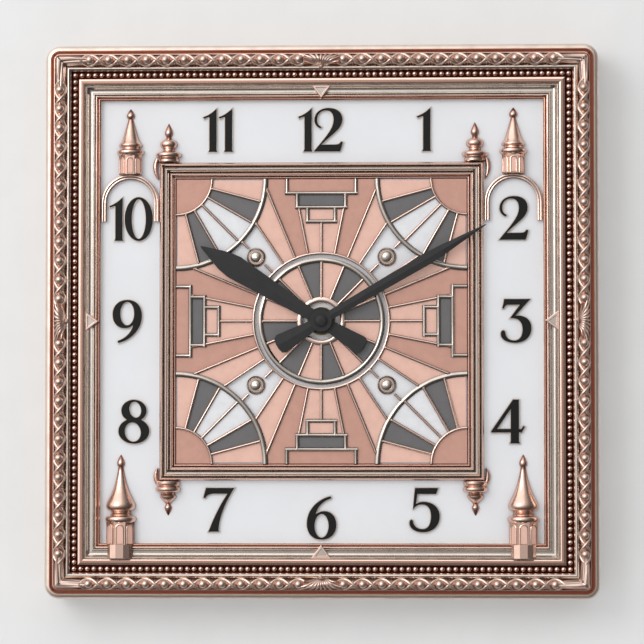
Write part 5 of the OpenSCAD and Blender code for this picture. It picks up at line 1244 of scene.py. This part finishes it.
class CLOCK_OT_stage(ClockPiece):
    """Wall, lamp, light of the room and camera"""

    bl_idname = "clock.stage"
    bl_label = "Stage"

    def build(self, scene):
        s = scene.clock_stage
        aim_level = 0.027  # metres from the wall to what the lamp and the camera point at
        face = Vector((0.0, -aim_level, HAND_AXIS.z))
        self.wall(scene)
        self.lamp(scene, face, s.key_power)
        self.room(scene, s.sky)
        self.camera(scene, face, s)
        scene.view_settings.view_transform = "Standard"

    def wall(self, scene):
        """A wall with an opening behind the clock, which lets light to its back."""
        behind, reach, rim = 0.0006, 3.0, 0.006
        corners = [
            (side * half, behind, HAND_AXIS.z + up * half)
            for half in (reach, CASE_HALF - rim) for side, up in ((-1, -1), (1, -1), (1, 1), (-1, 1))
        ]
        mesh = bpy.data.meshes.new("wall")
        mesh.from_pydata(corners, [], [(i, (i + 1) % 4, 4 + (i + 1) % 4, 4 + i) for i in range(4)])
        mesh.materials.append(self.one_sided(FINISHES["wall"]))
        board = bpy.data.objects.new("wall", mesh)
        scene.collection.objects.link(board)

    def one_sided(self, material):
        """Makes a finish clear from behind, and a little paler to the camera alone."""
        tree, nodes = Nodes(material.node_tree), material.node_tree.nodes
        behind = tree.add("ShaderNodeNewGeometry", {}, output="Backfacing")
        clear = tree.add("ShaderNodeBsdfTransparent", {})
        seen = tree.add("ShaderNodeLightPath", {}, output="Is Camera Ray")
        pale = tree.add("ShaderNodeEmission", {"Color": (0.8, 0.8, 0.8, 1.0)})
        plain = nodes["Principled BSDF"].outputs[0]
        lifted = tree.add("ShaderNodeMixShader", {0: tree.times(seen, 0.15), 1: plain, 2: pale})
        mixed = tree.add("ShaderNodeMixShader", {0: behind, 1: lifted, 2: clear})
        tree.plug(nodes["Material Output"].inputs["Surface"], mixed)
        return material

    def camera(self, scene, face, s):
        """A camera that looks at the clock's face from where the user set it."""
        camera = bpy.data.objects.new("camera", bpy.data.cameras.new("camera"))
        scene.collection.objects.link(camera)
        az, el = math.radians(s.azimuth), math.radians(s.elevation)
        way = Vector((math.sin(az) * math.cos(el), -math.cos(az) * math.cos(el), math.sin(el)))
        camera.location = face + Vector((s.aim_right, 0.0, -s.aim_down)) + s.distance * way
        camera.rotation_euler = way.to_track_quat("Z", "Y").to_euler()
        camera.data.sensor_width = 36.0
        camera.data.lens = camera.data.sensor_width * s.distance / s.view_width
        camera.data.clip_end = 20.0
        scene.camera = camera

    def lamp(self, scene, face, power):
        """A soft square lamp at the upper left."""
        light = bpy.data.lights.new("key", "AREA")
        light.shape = "SQUARE"
        light.size = 0.8
        light.energy = power
        lamp = bpy.data.objects.new("key", light)
        scene.collection.objects.link(lamp)
        way, away = Vector((-0.52, -0.76, 0.34)).normalized(), 1.6
        lamp.location = face + away * way
        lamp.rotation_euler = way.to_track_quat("Z", "Y").to_euler()

    def room(self, scene, strength):
        """Soft light from all round, a little stronger at the upper left.

        What metal mirrors in front of the wall is a darker room with one bright side, as in a studio with
        black flags; what the clock's back mirrors is plain.
        """
        world = bpy.data.worlds.new("room")
        world.use_nodes = True
        scene.world = world
        tree, nodes = Nodes(world.node_tree), world.node_tree.nodes
        place = tree.add("ShaderNodeTexCoord", {}, output="Generated")
        bright_side = Vector((-0.52, -0.62, 0.59)).normalized()
        along = tree.add("ShaderNodeVectorMath", {0: place, 1: tuple(bright_side)}, output="Value",
                         operation="DOT_PRODUCT")
        share = tree.add("ShaderNodeMapRange", {0: along, 1: -1.0, 2: 1.0})
        mirrored = self.mirrored(tree, nodes, place, share, strength)
        even = tree.plus(tree.times(share, 0.28 * strength), 0.62 * strength)
        glossy = tree.add("ShaderNodeLightPath", {}, output="Is Glossy Ray")
        level = tree.add("ShaderNodeMix", {0: glossy, 2: even, 3: mirrored})
        background = nodes["Background"]
        tree.plug(background.inputs["Color"], (1.0, 1.0, 1.0, 1.0))
        tree.plug(background.inputs["Strength"], level)

    def mirrored(self, tree, nodes, place, share, strength):
        """What metal mirrors: a dark room with one bright side in front, a plain level behind."""
        stops = [(0.0, 0.03), (0.4, 0.05), (0.6, 0.1), (0.7, 0.2), (0.77, 0.34), (0.82, 0.42),
                 (0.87, 0.6), (0.9, 0.9), (0.94, 1.0), (1.0, 1.0)]
        ramp = nodes.new("ShaderNodeValToRGB")
        tree.plug(ramp.inputs[0], share)
        marks = ramp.color_ramp.elements
        marks[0].position = stops[0][0]
        marks[1].position = stops[-1][0]
        for position, value in stops[1:-1]:
            marks.new(position)
        for mark, (position, value) in zip(marks, stops):
            mark.color = (value, value, value, 1.0)
        front = tree.times(ramp.outputs[0], 1.5 * strength)
        depth = tree.add("ShaderNodeSeparateXYZ", {0: place}, output="Y")
        behind = tree.add("ShaderNodeMapRange", {0: depth, 1: 0.0, 2: 0.3})
        return tree.add("ShaderNodeMix", {0: behind, 2: front, 3: 0.8 * strength})


OPERATORS = [
    CLOCK_OT_case, CLOCK_OT_mouldings, CLOCK_OT_beads, CLOCK_OT_leaves, CLOCK_OT_dial, CLOCK_OT_plaque,
    CLOCK_OT_turrets, CLOCK_OT_hands, CLOCK_OT_movement, CLOCK_OT_fixings, CLOCK_OT_stage,
]
GROUPS = {
    "clock_mouldings": ClockMouldings, "clock_beads": ClockBeads, "clock_leaves": ClockLeaves,
    "clock_turrets": ClockTurrets, "clock_colours": ClockColours, "clock_stage": ClockStage,
}


class CLOCK_PT_pieces(bpy.types.Panel):
    """Lists the clock's pieces and their sizes"""

    bl_idname = "CLOCK_PT_pieces"
    bl_label = "Art Deco Wall Clock"
    bl_space_type = "VIEW_3D"
    bl_region_type = "UI"
    bl_category = "Clock"

    def draw(self, context):
        for operator in OPERATORS:
            self.layout.operator(operator.bl_idname)
        for name, group in GROUPS.items():
            box = self.layout.box()
            for key in group.__annotations__:
                box.prop(getattr(context.scene, name), key)


def register():
    for kind in [*GROUPS.values(), *OPERATORS, CLOCK_PT_pieces]:
        bpy.utils.register_class(kind)
    for name, group in GROUPS.items():
        setattr(bpy.types.Scene, name, bpy.props.PointerProperty(type=group))


def unregister():
    for name in GROUPS:
        delattr(bpy.types.Scene, name)
    for kind in [CLOCK_PT_pieces, *OPERATORS[::-1], *list(GROUPS.values())[::-1]]:
        bpy.utils.unregister_class(kind)


def main():
    register()
    for operator in OPERATORS:
        group, name = operator.bl_idname.split(".")
        getattr(getattr(bpy.ops, group), name)()


if __name__ == "__main__":
    main()
